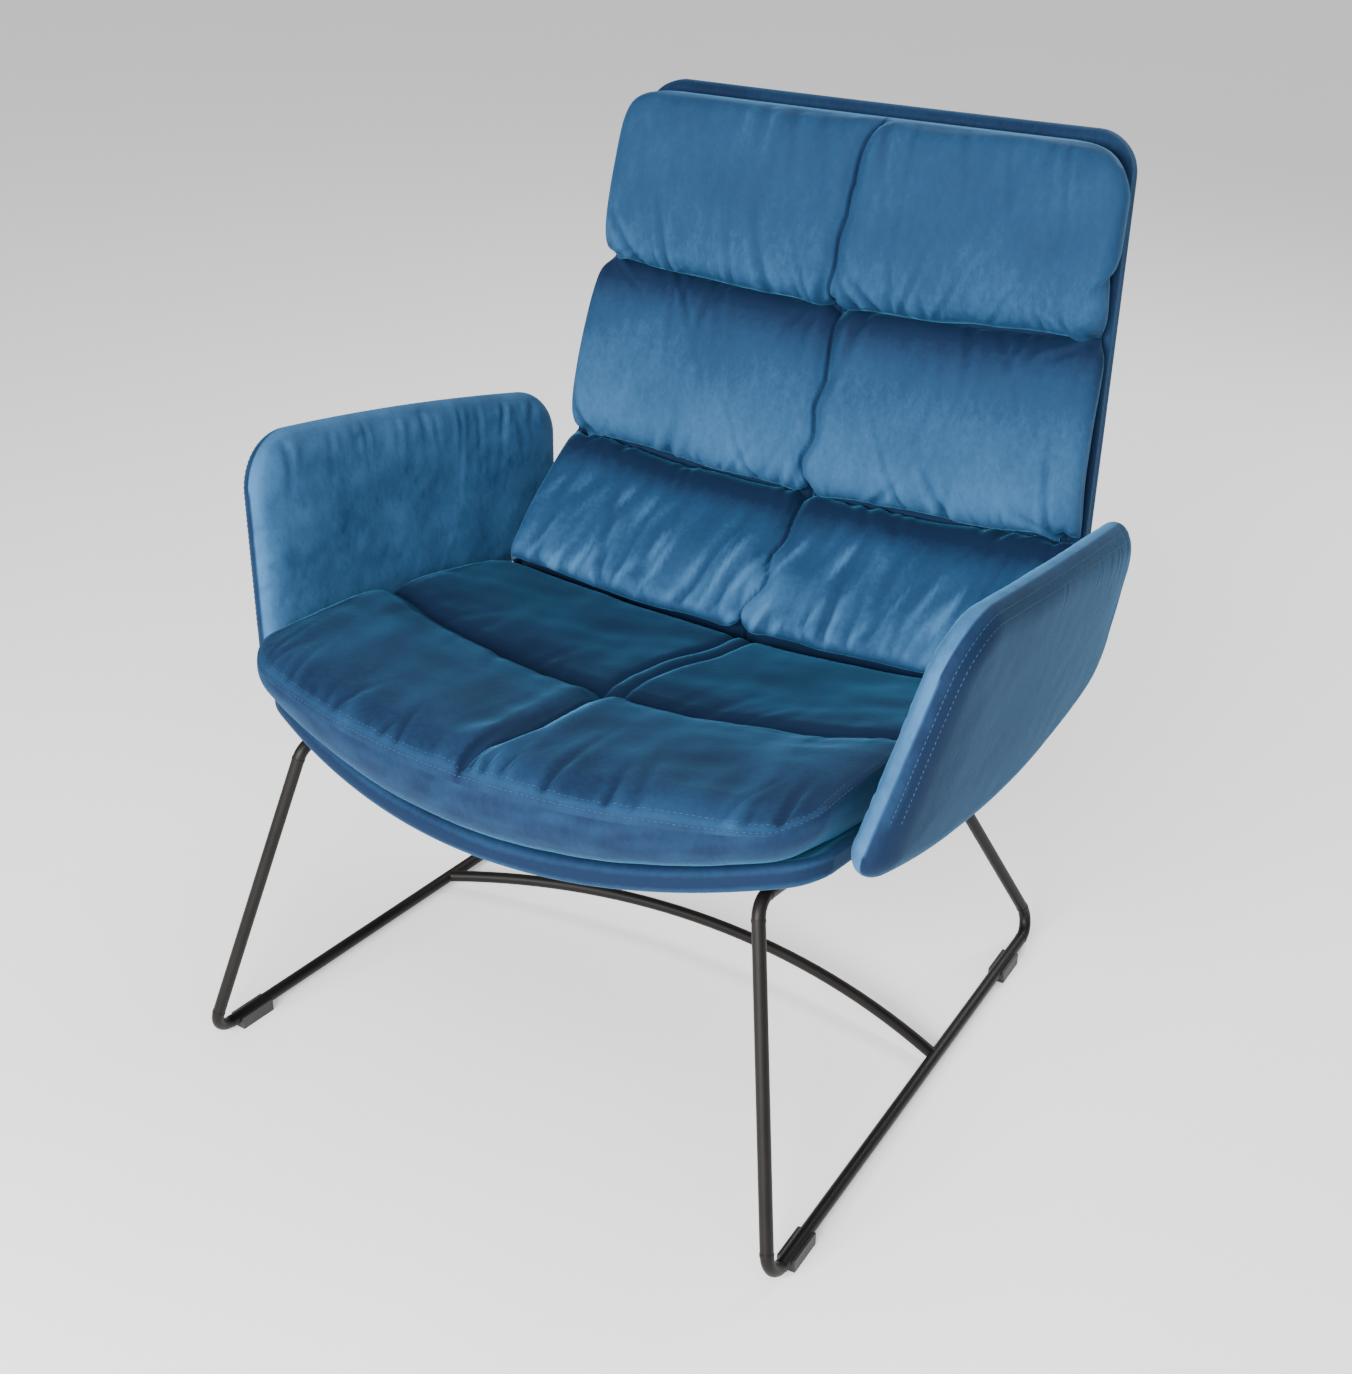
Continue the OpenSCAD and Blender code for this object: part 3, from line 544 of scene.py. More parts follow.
def make_shell():
    """The velvet over both faces of the shell, with a welt along its edge and a seam beside that."""
    x, s, d = shell_grid()
    welt = WELT_OUT * gauss((d - WELT_D) / 2.2) * (d > 0)
    wide_x = x * (1 + welt / HALF_W)
    half_t = SHELL_T / 2 * rounding(d, SHELL_EDGE_R, 2.2)
    waves = 0.5 * field(x, s, 60, 11) * smooth(d / 30)
    folds = creases(s, d - 4, 12, **SHELL_FOLDS)
    seam = SHELL_SEAM_DEPTH * gauss((d - SHELL_SEAM_D) / 1.6)
    front = shell_point(wide_x, s, half_t + waves + folds - 0.5 * seam)
    back = shell_point(wide_x, s, -half_t - 0.6 * waves - seam)
    # painted highlight where the welt's crown catches the light, and painted shade at its foot
    welt_highlight_and_shade = 0.16 * gauss((d - 1.5) / 3) - 0.3 * gauss(d / 1.2)
    nap_and_shading = 0.12 + 0.04 * field(x, s, 150, 13) + welt_highlight_and_shade
    return pillow("shell_cover", front, back, nap_and_shading, nap_and_shading, VELVET["shell"])


# --- Back pad ---

# where the pad starts below the shell's top edge, and the lengths of its two upper rolls
PAD_TOP_S = LENGTH - 17
UPPER_ROLL = 204.0
MIDDLE_ROLL = 220.0
CHANNEL_S = [PAD_TOP_S - UPPER_ROLL, PAD_TOP_S - UPPER_ROLL - MIDDLE_ROLL]
# the seat cushion's rear edge, and where the pad's foot meets the shell behind it
CUSHION_REAR_S = 492.0
CUSHION_REAR_N = 96.0
PAD_FOOT_S = CUSHION_REAR_S + 30
# how far the channels' bottoms lie in front of the shell's middle line, and sag in the pad's middle
CHANNEL_N = 42.0
CHANNEL_SAG = 16.0
# how much wider than the shell the pad is on each side
PAD_OVERHANG = 3.0
PAD_CORNER_R = 62.0
# radius of the roll at the pad's outline, and the share of its thickness that is behind the seam there
PAD_EDGE_R = 24.0
PAD_SEAM = 0.6
# how far the sides are drawn in at the two channels, and towards the foot
PINCHES = (9.0, 4.0)
FOOT_TAPER = 7.0
# the right side of the upper roll bulges low down, with a tuck at a distance from the top
SIDE_BULGE = 9.0
SIDE_TUCK = 4.0
SIDE_TUCK_AT = 165.0
# rows of the three rolls and of the tail under the lowest
ROLL_ROWS = (66, 70, 46)
TAIL_ROWS = 26
# a direction from the pad towards the sitter
SITTER = np.array([0, -1, 0.2])

# puckers above each channel, deep and fine, and shallower ones below it
DEEP_PUCKERS = dict(count=13, span=(-320, 320), depth=(2.2, 5.6), width=(5, 9), reach=(22, 70), skew=0.9)
FINE_PUCKERS = dict(count=22, span=(-330, 330), depth=(0.8, 2.6), width=(3, 6), reach=(12, 30), skew=0.5)
LOW_PUCKERS = dict(count=14, span=(-320, 320), depth=(1.2, 3.6), width=(5, 9), reach=(18, 70), skew=0.6)
TOP_FOLDS = dict(count=14, span=(-280, 280), depth=(0.8, 2.6), width=(5, 11), reach=(24, 80), skew=0.3)
FOOT_FOLDS = dict(count=36, span=(-320, 320), depth=(1.4, 4.6), width=(4, 9), reach=(30, 110), skew=0.3)
# folds that fan out from the ends of a channel, as (lean, reach), and the x that they start from
FAN_FOLDS = ((0.8, 34), (1.4, 28), (2.4, 24))
FAN_X = 326.0
# folds that lean away from the middle seam, as (distance from the top, lean, depth)
SEAM_FOLDS = ((70, 0.8, 3.0), (110, -0.6, 2.2), (330, 0.7, 2.4), (380, -0.8, 2.8))
# the most of a fold's height that still paints the velvet, as painted shade in its valleys and painted
# highlight on its ridges
FOLD_SHADING_LIMIT = 4.0

# Each roll's front as [share of the way down, bulge], full low down and tucked under at its channel
UPPER_PROFILE = [
    [0, 0], [0.03, 13], [0.1, 21], [0.25, 27], [0.45, 31], [0.65, 33], [0.8, 31], [0.9, 25],
    [0.96, 15], [0.985, 4], [0.99, -8],
]
MIDDLE_PROFILE = [
    [-0.01, -8], [0.01, 0], [0.05, 9], [0.12, 16], [0.25, 23], [0.45, 29], [0.62, 31], [0.8, 30],
    [0.9, 24], [0.96, 14], [0.985, 4], [0.99, -8],
]
LOWER_PROFILE = [
    [-0.01, -8], [0.01, 0], [0.06, 9], [0.15, 16], [0.3, 24], [0.5, 31], [0.7, 35], [0.84, 35],
    [0.93, 33], [0.99, 26], [1.025, 15], [1.022, 3],
]


def off_shell(s, n):
    """The point at s and n in the middle plane, as y and z."""
    return centre_line(np.array(float(s))) + n * across(float(s))


def roll_front(a, b, profile, count):
    """A roll's front line from a down to b, in the middle plane."""
    d = b - a
    side = np.array([d[1], -d[0]]) / np.hypot(*d)
    return spline([a + d * share + side * bulge for share, bulge in profile], count)


def pad_lines():
    """The pad's front line in the middle plane, the s behind each row, and the row where each roll ends."""
    top = off_shell(PAD_TOP_S, CHANNEL_N + 6)
    channels = [off_shell(s, CHANNEL_N) for s in CHANNEL_S]
    # the lowest roll hangs over the cushion's rear edge, then turns under it and back to the shell
    low = off_shell(CUSHION_REAR_S, CUSHION_REAR_N) + [9, 6]
    under = off_shell(CUSHION_REAR_S, 40) + [17, 0]
    foot = off_shell(PAD_FOOT_S, SHELL_T / 2 + 8)
    ends = [top, *channels, low]
    profiles = (UPPER_PROFILE, MIDDLE_PROFILE, LOWER_PROFILE)
    rolls = [roll_front(a, b, *rest) for a, b, *rest in zip(ends, ends[1:], profiles, ROLL_ROWS)]
    tail = spline([rolls[-1][-1], low + [6, -4], low + [9, -24], under, foot], TAIL_ROWS)
    stops = [PAD_TOP_S, *CHANNEL_S, CUSHION_REAR_S + 60]
    rear = [np.linspace(a, b, rows) for a, b, rows in zip(stops, stops[1:], ROLL_ROWS)]
    rear.append(np.linspace(stops[-1], PAD_FOOT_S, TAIL_ROWS)[1:])
    return np.concatenate([*rolls, tail[1:]]), np.concatenate(rear), np.cumsum(ROLL_ROWS) - 1


def seam_pull(x, centre, depth, width):
    """A sewn seam: a soft valley with a sharp line at its bottom."""
    return -depth * gauss((x - centre) / width) - 0.6 * depth * gauss((x - centre) / 1.8)


def pad_half_widths(step, rear_s, channel_at, foot_at):
    """Half widths of the pad's rows, to the left and to the right."""
    pinch = sum(depth * gauss((step - at) / 14) for depth, at in zip(PINCHES, channel_at))
    pinch += FOOT_TAPER * smooth((step - channel_at[1]) / (foot_at - channel_at[1]))
    corner = corner_inset(np.maximum(PAD_TOP_S - rear_s, 0), PAD_CORNER_R)
    left = shell_half(rear_s) + PAD_OVERHANG - pinch - corner
    bulge = SIDE_BULGE * smooth((channel_at[0] - 66 - step) / 14) * smooth(step / 60)
    return left, left + bulge - SIDE_TUCK * gauss((step - SIDE_TUCK_AT) / 16)


def pad_sheet(line, rear_s, step, foot_at, x, u):
    """The pad's front before its folds: rows that sag in the middle and follow the shell's dish a little."""
    q = u * u
    sag = CHANNEL_SAG * np.clip(np.minimum(step, foot_at - step) / 60, 0, 1)[:, None] * (1 - q)
    follow = np.interp(step, [0, foot_at - 30, foot_at + 30, step[-1]], [0.4, 0.4, 0.85, 1])
    lift = (follow * dish(rear_s))[:, None] * q
    p = line[:, None, :] - sag[..., None] * along(LENGTH) + lift[..., None] * across(rear_s)[:, None, :]
    return np.stack([x, p[..., 0] - MID_Y, p[..., 1]], -1)


def pad_seam(x, down):
    """x of the seam down the pad's middle, which wanders, and leans to the right at the top."""
    wander = 5 * np.sin(down / 46 + 0.6) + 3 * field(0 * x, down, 70, 45)
    return wander + 16 * smooth((60 - down) / 60)


def pad_puckers(x, down, channel_at, foot_at):
    """Folds that the sewing draws: along both channels, at their ends, below the top and above the foot."""
    puckers = np.zeros_like(x)
    for k, at in enumerate(channel_at):
        # the folds above start beyond the roll's hidden underside
        above = at - 24 - down
        below = down - at - 12
        puckers += creases(x, above, 20 + k, **DEEP_PUCKERS)
        puckers += creases(x, above, 25 + k, **FINE_PUCKERS)
        puckers += creases(x, below, 30 + k, **LOW_PUCKERS)
        for sign in (-1, 1):
            for lean, reach in FAN_FOLDS:
                fan = sign * x - FAN_X + np.abs(down - at) / lean + 5 * field(x, down, 60, 49)
                ridge = 2.4 * gauss((fan + 11) / 7) - 3.4 * gauss(fan / 6)
                puckers += ridge * gauss((down - at) / reach)
    puckers += creases(x, down - 16, 41, **TOP_FOLDS)
    puckers += creases(x, foot_at - 34 - down, 42, **FOOT_FOLDS)
    return puckers


def pad_waves(x, down, seam_x):
    """Long soft waves over the rolls, and the middle seam with the folds that leave it."""
    off = x - seam_x
    waves = 1.6 * field(x, 1.4 * down, 150, 43) + 0.35 * field(x, down, 60, 44)
    waves += seam_pull(x, seam_x, 8.0, 10)
    waves += 2.0 * gauss((off - 21) / 12) + 1.6 * gauss((off + 23) / 12)
    for height, lean, depth in SEAM_FOLDS:
        fold = down - height - lean * np.abs(off)
        waves -= depth * gauss(fold / 5) * np.exp(-np.abs(off) / 26)
    return waves


def pad_nap_and_shading(x, down, d, seam_x, channel_at, foot_at):
    """Nap and painted light of the pad: a painted sheen low on each roll, painted shade below each channel
    and a painted shadow along it, with crushed streaks low down.
    """
    nap_and_shading = 0.44 + 0.03 * field(x, down, 140, 46) + 0.02 * field(x, 0.4 * down, 22, 47)
    # painted light and shade at each channel and at the foot: a painted sheen over the low part of the roll
    # above, painted shade on the roll below and a painted shadow along the line itself
    for at in (*channel_at, foot_at):
        nap_and_shading += 0.22 * smooth(1 - (at - down) / 130) * (down < at)
        nap_and_shading -= 0.26 * smooth(1 - (down - at) / 90) * (down >= at)
        nap_and_shading -= 0.45 * gauss((down - at + 2) / 22) + 0.14 * gauss((down - at - 30) / 26)
    nap_and_shading += 0.2 * smooth((down - channel_at[0] - 60) / 90) * (down < channel_at[1])
    # painted shade in the groove of the middle seam
    nap_and_shading -= 0.5 * gauss((x - seam_x) / 2.6)
    lowest = smooth((down - channel_at[1] - 40) / 70) * smooth((foot_at + 10 - down) / 12)
    # painted shade over the upper part of the lowest roll and under the pad
    nap_and_shading -= 0.2 * smooth((down - channel_at[1]) / 10) * (1 - lowest)
    fine = field(x + 0.25 * down, 0.14 * down, 20, 48)
    broad = field(x + 0.25 * down, 0.2 * down, 46, 50)
    nap_and_shading += (0.3 * np.maximum(fine - 0.4, 0) + 0.16 * np.maximum(broad, 0)) * lowest
    # the top edge catches the light
    return nap_and_shading + 0.4 * gauss((d - 3) / 2.5) * (down < 30)


def make_pad():
    """The back pad: three rolls, sewn through at two channels, with a seam down the middle."""
    line, rear_s, ends = pad_lines()
    u = refined(spaced(-1, 1, step=0.0125, edge=0.07, count=12), -0.05, 0.1, 0.0035)
    # distance of each row from the top, along the front, and those of the channels and the foot
    step = np.concatenate([[0], np.cumsum(np.hypot(*np.diff(line, axis=0).T))])
    down = step[:, None] + 0 * u
    *channel_at, foot_at = step[ends]
    left, right = pad_half_widths(step, rear_s, channel_at, foot_at)
    half = np.where(u > 0, right[:, None], left[:, None])
    x = u * half
    end = np.minimum(np.maximum(PAD_TOP_S - rear_s, 0), step[-1] - step)[:, None]
    d = np.maximum(np.minimum(half - np.abs(x), end), 0)
    edge = rounding(d, PAD_EDGE_R, 2.1)
    sheet = pad_sheet(line, rear_s, step, foot_at, x, u)
    base = shell_point(x, rear_s[:, None] + 0 * u, SHELL_T / 2 + COVER_GAP)
    normals = normals_of(sheet)
    normals *= np.sign(normals[len(line) // 2, len(u) // 2] @ SITTER)
    seam_x = pad_seam(x, down)
    puckers = pad_puckers(x, down, channel_at, foot_at)
    relief = (puckers + pad_waves(x, down, seam_x)) * smooth(d / 16)
    front = base + (sheet - base) * (PAD_SEAM + (1 - PAD_SEAM) * edge)[..., None]
    front += normals * (relief * edge)[..., None]
    back = base + (sheet - base) * (PAD_SEAM * (1 - edge))[..., None]
    nap_and_shading = pad_nap_and_shading(x, down, d, seam_x, channel_at, foot_at)
    # painted shade in the puckers' valleys and painted highlight on their ridges
    nap_and_shading += 0.06 * np.clip(puckers, -FOLD_SHADING_LIMIT, FOLD_SHADING_LIMIT)
    return pillow("back_pad", front, back, nap_and_shading, np.full_like(nap_and_shading, 0.3), VELVET["pad"])


# --- Seat cushion ---

CUSHION_FRONT_S = -34.0
CUSHION_HALF_W = 341.0
CUSHION_CORNER_R = 44.0
CUSHION_BASE_N = SHELL_T / 2 + COVER_GAP
# how much lower the top is at its sides than in the middle, in front and at the rear
SIDE_DROP = 41.0
REAR_DROP = 24.0
# s of the channel behind the front roll
CHANNEL_AT = 231.0
# the border: how far in from the outline it turns under, and how far it slants in at sides and front
BORDER_R = 34.0
SIDE_SLANT = 14.0
FRONT_SLANT = 54.0
# distances of the two stitched rows from the outline
CUSHION_ROWS = (3.5, 10.5)
# s where the rows of stitches end on the sides
STITCH_END_S = 60.0
# the top's line in the middle plane, as [s, n]
CUSHION_PROFILE = [
    [-34, 94], [-26, 101], [-10, 107], [10, 111], [45, 114], [90, 116], [140, 116], [180, 113], [200, 109],
    [214, 103], [224, 96], [231, 93], [240, 96], [256, 100], [290, 102], [345, 101], [425, 100], [470, 100],
    [484, 98], [492, 90],
]
CUSHION_TOP = smooth_line(*np.transpose(CUSHION_PROFILE), 3)
# folds behind the front seam, deep and fine, and on both sides of the channel
FRONT_FOLDS = dict(count=20, span=(-320, 320), depth=(1.8, 5.4), width=(4, 8), reach=(14, 64), skew=0.35)
FRONT_CRINKLES = dict(count=24, span=(-320, 320), depth=(0.4, 1.6), width=(3, 6), reach=(10, 24), skew=0.3)
ROLL_FOLDS = dict(count=18, span=(-320, 320), depth=(0.5, 2.0), width=(7, 13), reach=(16, 60), skew=0.5)
REAR_FOLDS = dict(count=16, span=(-320, 320), depth=(0.4, 1.6), width=(7, 13), reach=(16, 50), skew=0.5)
# lighter bars in the nap, as (x, half width, strength)
NAP_BARS = (
    (-262, 15, 0.16), (-120, 12, 0.12), (-66, 8, 0.10), (62, 10, 0.12), (118, 16, 0.14), (214, 12, 0.12),
)


def outward_of(x, s, end):
    """Direction towards the nearest edge of the cushion's outline, in x and s, fading inwards."""
    wx = np.exp(-np.maximum(CUSHION_HALF_W - np.abs(x), 0) / 16)
    ws = np.exp(-np.maximum(end, 0) / 16)
    size = np.maximum(np.hypot(wx, ws), 1e-6)
    front = s < (CUSHION_FRONT_S + CUSHION_REAR_S) / 2
    return np.sign(x) * wx / size, np.where(front, -1, 1) * ws / size


def cushion_end(s):
    """Distance to the nearer of the cushion's front and rear edges."""
    return np.minimum(s - CUSHION_FRONT_S, CUSHION_REAR_S - s)


def cushion_drop(x, s):
    """How far the top falls from the middle towards its sides."""
    return mix(SIDE_DROP, REAR_DROP, smooth(s / CUSHION_REAR_S)) * (x / CUSHION_HALF_W) ** 2


def seam_height(x, s):
    """Height of the seam around the cushion's top, which its top and its border share."""
    full = CUSHION_TOP(s) - cushion_drop(x, s)
    share = mix(0.84, 0.92, smooth((s - 60) / 200))
    return CUSHION_BASE_N + (full - CUSHION_BASE_N) * share


def cushion_relief(x, s, d, seam_x, front_roll):
    """Folds, seams and stitched grooves of the cushion's top."""
    relief = creases(x, s - CUSHION_FRONT_S - 12, 51, **FRONT_FOLDS)
    relief += creases(x, s - CUSHION_FRONT_S - 12, 59, **FRONT_CRINKLES)
    relief += creases(x, CHANNEL_AT - 13 - s, 52, **ROLL_FOLDS)
    relief += creases(x, s - CHANNEL_AT - 13, 53, **REAR_FOLDS)
    relief += 1.6 * field(x, s, 140, 54) + 0.4 * field(x, s, 50, 55)
    # one seam over the front roll, and two close together behind it
    relief += seam_pull(x, seam_x, 7.5, 12) * front_roll
    relief += (3.0 * gauss((x - seam_x - 24) / 14) + 2.2 * gauss((x - seam_x + 24) / 14)) * front_roll
    for offset in (-9, 13):
        relief += seam_pull(x, seam_x + offset, 3.0, 6) * (1 - front_roll)
    relief *= smooth(d / 18)
    for at in CUSHION_ROWS:
        relief -= 0.7 * gauss((d - at) / 1.3)
    return relief


def cushion_nap_and_shading(x, s, d, relief, seam_x, front_roll):
    """Nap and painted light of the cushion's top: dark, with light bars, a painted highlight at the channel,
    painted shade along the sides and the seam, and painted shading on the folds.
    """
    behind = smooth((s - CHANNEL_AT + 16) / 20)
    nap_and_shading = 0.08 + 0.04 * field(x, s, 150, 56) + 0.02 * field(x, s, 40, 57)
    streak = np.maximum(field(x + 0.2 * s, 0.1 * s, 70, 60) - 0.35, 0)
    nap_and_shading += 0.16 * streak * (1 - 0.6 * behind)
    for place, width, light in NAP_BARS:
        bar = gauss((x - place - 0.12 * s) / width) * smooth((s + 20) / 50)
        nap_and_shading += light * bar * (1 - 0.5 * behind)
    # painted shade along the sides, next to the arms
    nap_and_shading -= 0.12 * gauss((CUSHION_HALF_W - np.abs(x)) / 26)
    # darker behind the channel, and painted shade in the groove of the seam over the front roll
    nap_and_shading -= 0.14 * behind + 0.45 * gauss((x - seam_x) / 3.0) * front_roll
    # painted highlight along the front roll's crest before the channel, and along the front edge above the
    # border's seam
    nap_and_shading += 0.26 * gauss((s - CHANNEL_AT + 27) / 6) + 0.22 * gauss((d - 7) / 4) * (s < 10)
    # painted shade and highlight on the folds, and the top painted lighter towards its front edge
    return nap_and_shading + 0.045 * np.clip(relief, -FOLD_SHADING_LIMIT, FOLD_SHADING_LIMIT) + 0.10 * smooth((30 - s) / 60)


def cushion_top(x, s):
    """Points, nap and edge distance of the cushion's top, at x and s."""
    end = cushion_end(s)
    d = corner_distance(CUSHION_HALF_W - np.abs(x), end, CUSHION_CORNER_R)
    # the channel behind the front roll bows forward in the middle
    bow = 14 * (1 - (x / CUSHION_HALF_W) ** 2) - 8
    full = CUSHION_TOP(s + bow) - cushion_drop(x, s)
    soft_r = mix(46, 10, smooth((s - 300) / 120))
    top = mix(seam_height(x, s), full, rounding(d, soft_r))
    front_roll = smooth((CHANNEL_AT - 3 - s) / 12)
    seam_x = 8 * np.sin(s / 60)
    relief = cushion_relief(x, s, d, seam_x, front_roll)
    # the cloth puffs out a little just above the border's seam
    puff = 4.0 * (1 - np.exp(-d / 3)) * np.exp(-d / 16)
    out_x, out_s = outward_of(x, s, end)
    points = shell_point(x + puff * out_x, s + puff * out_s, top + relief)
    return points, cushion_nap_and_shading(x, s, d, relief, seam_x, front_roll), d


def make_cushion():
    """The seat cushion: a top with a front roll and a channel, over a border that turns under it."""
    # rows are densest around the channel
    dense_from, dense_to = CHANNEL_AT - 41, CHANNEL_AT + 31
    s = np.concatenate([
        spaced(CUSHION_FRONT_S, dense_from, step=4.2, edge=30, count=14, both=False),
        np.linspace(dense_from, dense_to, 30)[1:-1],
        CUSHION_REAR_S - spaced(0, CUSHION_REAR_S - dense_to, step=7, edge=24, count=9, both=False)[::-1],
    ])
    s = np.unique(np.round(s, 3))
    u = refined(spaced(-1, 1, step=0.0125, edge=0.09, count=14), -0.07, 0.08, 0.004)
    s, u = np.meshgrid(s, u, indexing="ij")
    end = cushion_end(s)
    x = u * (CUSHION_HALF_W - corner_inset(end, CUSHION_CORNER_R))
    front, nap_and_shading, d = cushion_top(x, s)
    # the border is full, and slants in most under the front
    turn = np.clip(d / BORDER_R, 0, 1) * math.pi / 2
    slant = mix(SIDE_SLANT, FRONT_SLANT, gauss((s - CUSHION_FRONT_S) / 75))
    shift = np.where(
        d < BORDER_R, d - slant * (1 - np.cos(turn)), (BORDER_R - slant) * gauss((d - BORDER_R) / 60)
    )
    shift += 3.5 * np.sin(2 * turn)
    out_x, out_s = outward_of(x, s, end)
    n = CUSHION_BASE_N + (seam_height(x, s) - CUSHION_BASE_N) * (1 - np.sin(turn))
    n += 0.4 * field(x, s, 60, 61) * np.sin(2 * turn)
    back = shell_point(x + shift * out_x, s + shift * out_s, n)
    # the border is painted darker where it turns under the cushion, as painted shade
    border_nap_and_shading = 0.15 + 0.06 * field(x, n * 3, 60, 58) - 0.25 * (turn > 1.2)
    return pillow("seat_cushion", front, back, nap_and_shading, border_nap_and_shading, VELVET["cushion"])


def surface_row(point, a, b, step=1.5):
    """A row of points on a surface given as a function of a and b, with its outward directions."""
    line = point(a, b)
    outward = np.cross(point(a + step, b) - point(a - step, b), point(a, b + step) - point(a, b - step))
    return line, outward


def cushion_stitches(at):
    """A row round the cushion's sides and front, at a distance at from its outline."""
    r = CUSHION_CORNER_R
    turn = np.linspace(0, math.pi / 2, 24)[1:-1]
    corner_x = CUSHION_HALF_W - r + (r - at) * np.cos(turn)
    corner_s = CUSHION_FRONT_S + r - (r - at) * np.sin(turn)
    front_x = np.linspace(CUSHION_HALF_W - r, r - CUSHION_HALF_W, 220)
    front_s = np.full_like(front_x, CUSHION_FRONT_S + at)
    side_s = np.linspace(STITCH_END_S, CUSHION_FRONT_S + r, 60)
    side_x = np.full_like(side_s, CUSHION_HALF_W - at)
    x = np.concatenate([side_x, corner_x, front_x, -corner_x[::-1], -side_x])
    s = np.concatenate([side_s, corner_s, front_s, corner_s[::-1], side_s[::-1]])
    return surface_row(lambda a, b: cushion_top(a, b)[0], x, s)


# --- Arms ---

ARM_T = 46.0
# x of the panel's middle layer: along its low edge, and at the front and rear of its top edge
ARM_LOW_X = 362.0
ARM_TOP_X = 427.0
ARM_REAR_X = 390.0
# corners in the side view, as y and z
ARM_FRONT_LOW = np.array([128.0, 392.0])
ARM_FRONT_TOP = np.array([194.0, 652.0])
ARM_REAR_TOP = np.array([702.0, 566.0])
ARM_REAR_LOW = np.array([668.0, 392.0])
# bends of the edges: the low one sags, bellies out and flares to the rear, the top one rises and bows out
ARM_SAG = 33.0
ARM_BELLY = 7.0
ARM_FLARE = 8.0
ARM_TOP_BULGE = 6.0
ARM_BOW = 10.0
# length along the arm, and its corners' radii at the front and the rear
ARM_RUN = 500.0
ARM_LOW_RADII = [30.0, 60.0]
ARM_TOP_RADII = [62.0, 56.0]
ARM_EDGE_R = 32.0
ARM_LEAN = math.radians(12)
# distances from the outline: the outer face's seam, and the stitched row on each side of it
ARM_SEAM_D = 8.5
ARM_ROWS = (4.5, 12.5)
# how far down the front edge the rows of stitches reach
ARM_STITCH_DROP = 205.0
ARM_SEEDS = {"left": 70, "right": 90}
ARM_LAYERS = ["inner_foam", "outer_foam", "inner_cover", "outer_cover"]
# folds below the top edge and behind the front edge of the inner face, and below the outer face's top
INNER_FOLDS = dict(count=18, span=(30, 470), depth=(1.0, 3.4), width=(4, 8), reach=(16, 60), skew=0.3)
FRONT_EDGE_FOLDS = dict(count=9, span=(30, 220), depth=(0.4, 1.4), width=(4, 8), reach=(10, 26), skew=0.3)
OUTER_FOLDS = dict(count=9, span=(190, 490), depth=(0.5, 1.5), width=(3, 6), reach=(8, 26), skew=0.3)


def arm_insets(run):
    """How far the rounded corners cut into the arm's low and top edges, at a distance run from its front."""
    ends = (run, ARM_RUN - run)
    return [
        sum(corner_inset(end, radius) for end, radius in zip(ends, radii))
        for radii in (ARM_LOW_RADII, ARM_TOP_RADII)
    ]


def arm_layout(t, v):
    """Middle layer of the right arm, at shares t of its length and v of its height there.

    Returns the points, the panel's whole height, the share of that and the distance to the outline.
    """
    arch = 4 * t * (1 - t)
    low = ARM_FRONT_LOW + (ARM_REAR_LOW - ARM_FRONT_LOW) * t[..., None]
    low[..., 1] -= ARM_SAG * arch
    high = ARM_FRONT_TOP + (ARM_REAR_TOP - ARM_FRONT_TOP) * t[..., None]
    high[..., 1] += ARM_TOP_BULGE * arch
    height = np.linalg.norm(high - low, axis=-1)
    run = t * ARM_RUN
    low_inset, top_inset = arm_insets(run)
    w = mix(low_inset / height, 1 - top_inset / height, v)
    p = low + (high - low) * w[..., None]
    low_x = ARM_LOW_X + ARM_FLARE * t + ARM_BELLY * arch
    x = mix(low_x, mix(ARM_TOP_X, ARM_REAR_X, t) + ARM_BOW * arch, w)
    d = np.minimum.reduce([
        corner_distance(edge, end, radius)
        for edge, radii in ((w * height, ARM_LOW_RADII), ((1 - w) * height, ARM_TOP_RADII))
        for end, radius in zip((run, ARM_RUN - run), radii)
    ])
    return np.stack([x, p[..., 0] - MID_Y, p[..., 1]], -1), height, w, d


def arm_nap_and_shading(run, rise, d, side):
    """Nap and painted light of an arm's inner and outer faces, with lighter and darker patches on each."""
    seed = ARM_SEEDS[side]
    # the inner faces are much lighter than the outer ones, partly as the nap's tone and partly as painted
    # light on the inner sides and painted shade on the outer ones
    nap_and_shading_in = 0.72 + 0.05 * field(run, rise, 80, seed + 7) + 0.035 * field(run, rise, 26, seed + 8)
    nap_and_shading_out = -0.02 + 0.05 * field(run, rise, 100, seed + 9) + 0.03 * field(run, rise, 30, seed + 10)
    if side == "left":
        # a lighter front part ends at a light curved line, and has a dark spot
        divide = 318 - 70 * smooth((150 - rise) / 150)
        nap_and_shading_in -= 0.05 * smooth((run - divide) / 5)
        nap_and_shading_in += 0.12 * gauss((run - divide + 4) / 7)
        nap_and_shading_in -= 0.2 * gauss(np.hypot((run - 120) / 18, (rise - 170) / 46))
        nap_and_shading_in -= 0.12 * np.maximum(field(run, rise, 24, seed + 11) - 0.9, 0)
    else:
        # a dark patch in the middle, and a light line towards the rear
        nap_and_shading_out -= 0.20 * gauss(np.hypot((run - 200 - 0.5 * (rise - 150)) / 46, (rise - 165) / 50))
        divide = 430 - 60 * smooth((170 - rise) / 170)
        nap_and_shading_out += 0.26 * gauss((run - divide) / 4) * smooth((rise - 60) / 40)
    rim_light = 0.16 * gauss((d - 2) / 5)
    # the outer face has painted shade in the groove of its seam
    return nap_and_shading_in + rim_light, nap_and_shading_out + rim_light - 0.12 * gauss((d - ARM_SEAM_D) / 1.1)


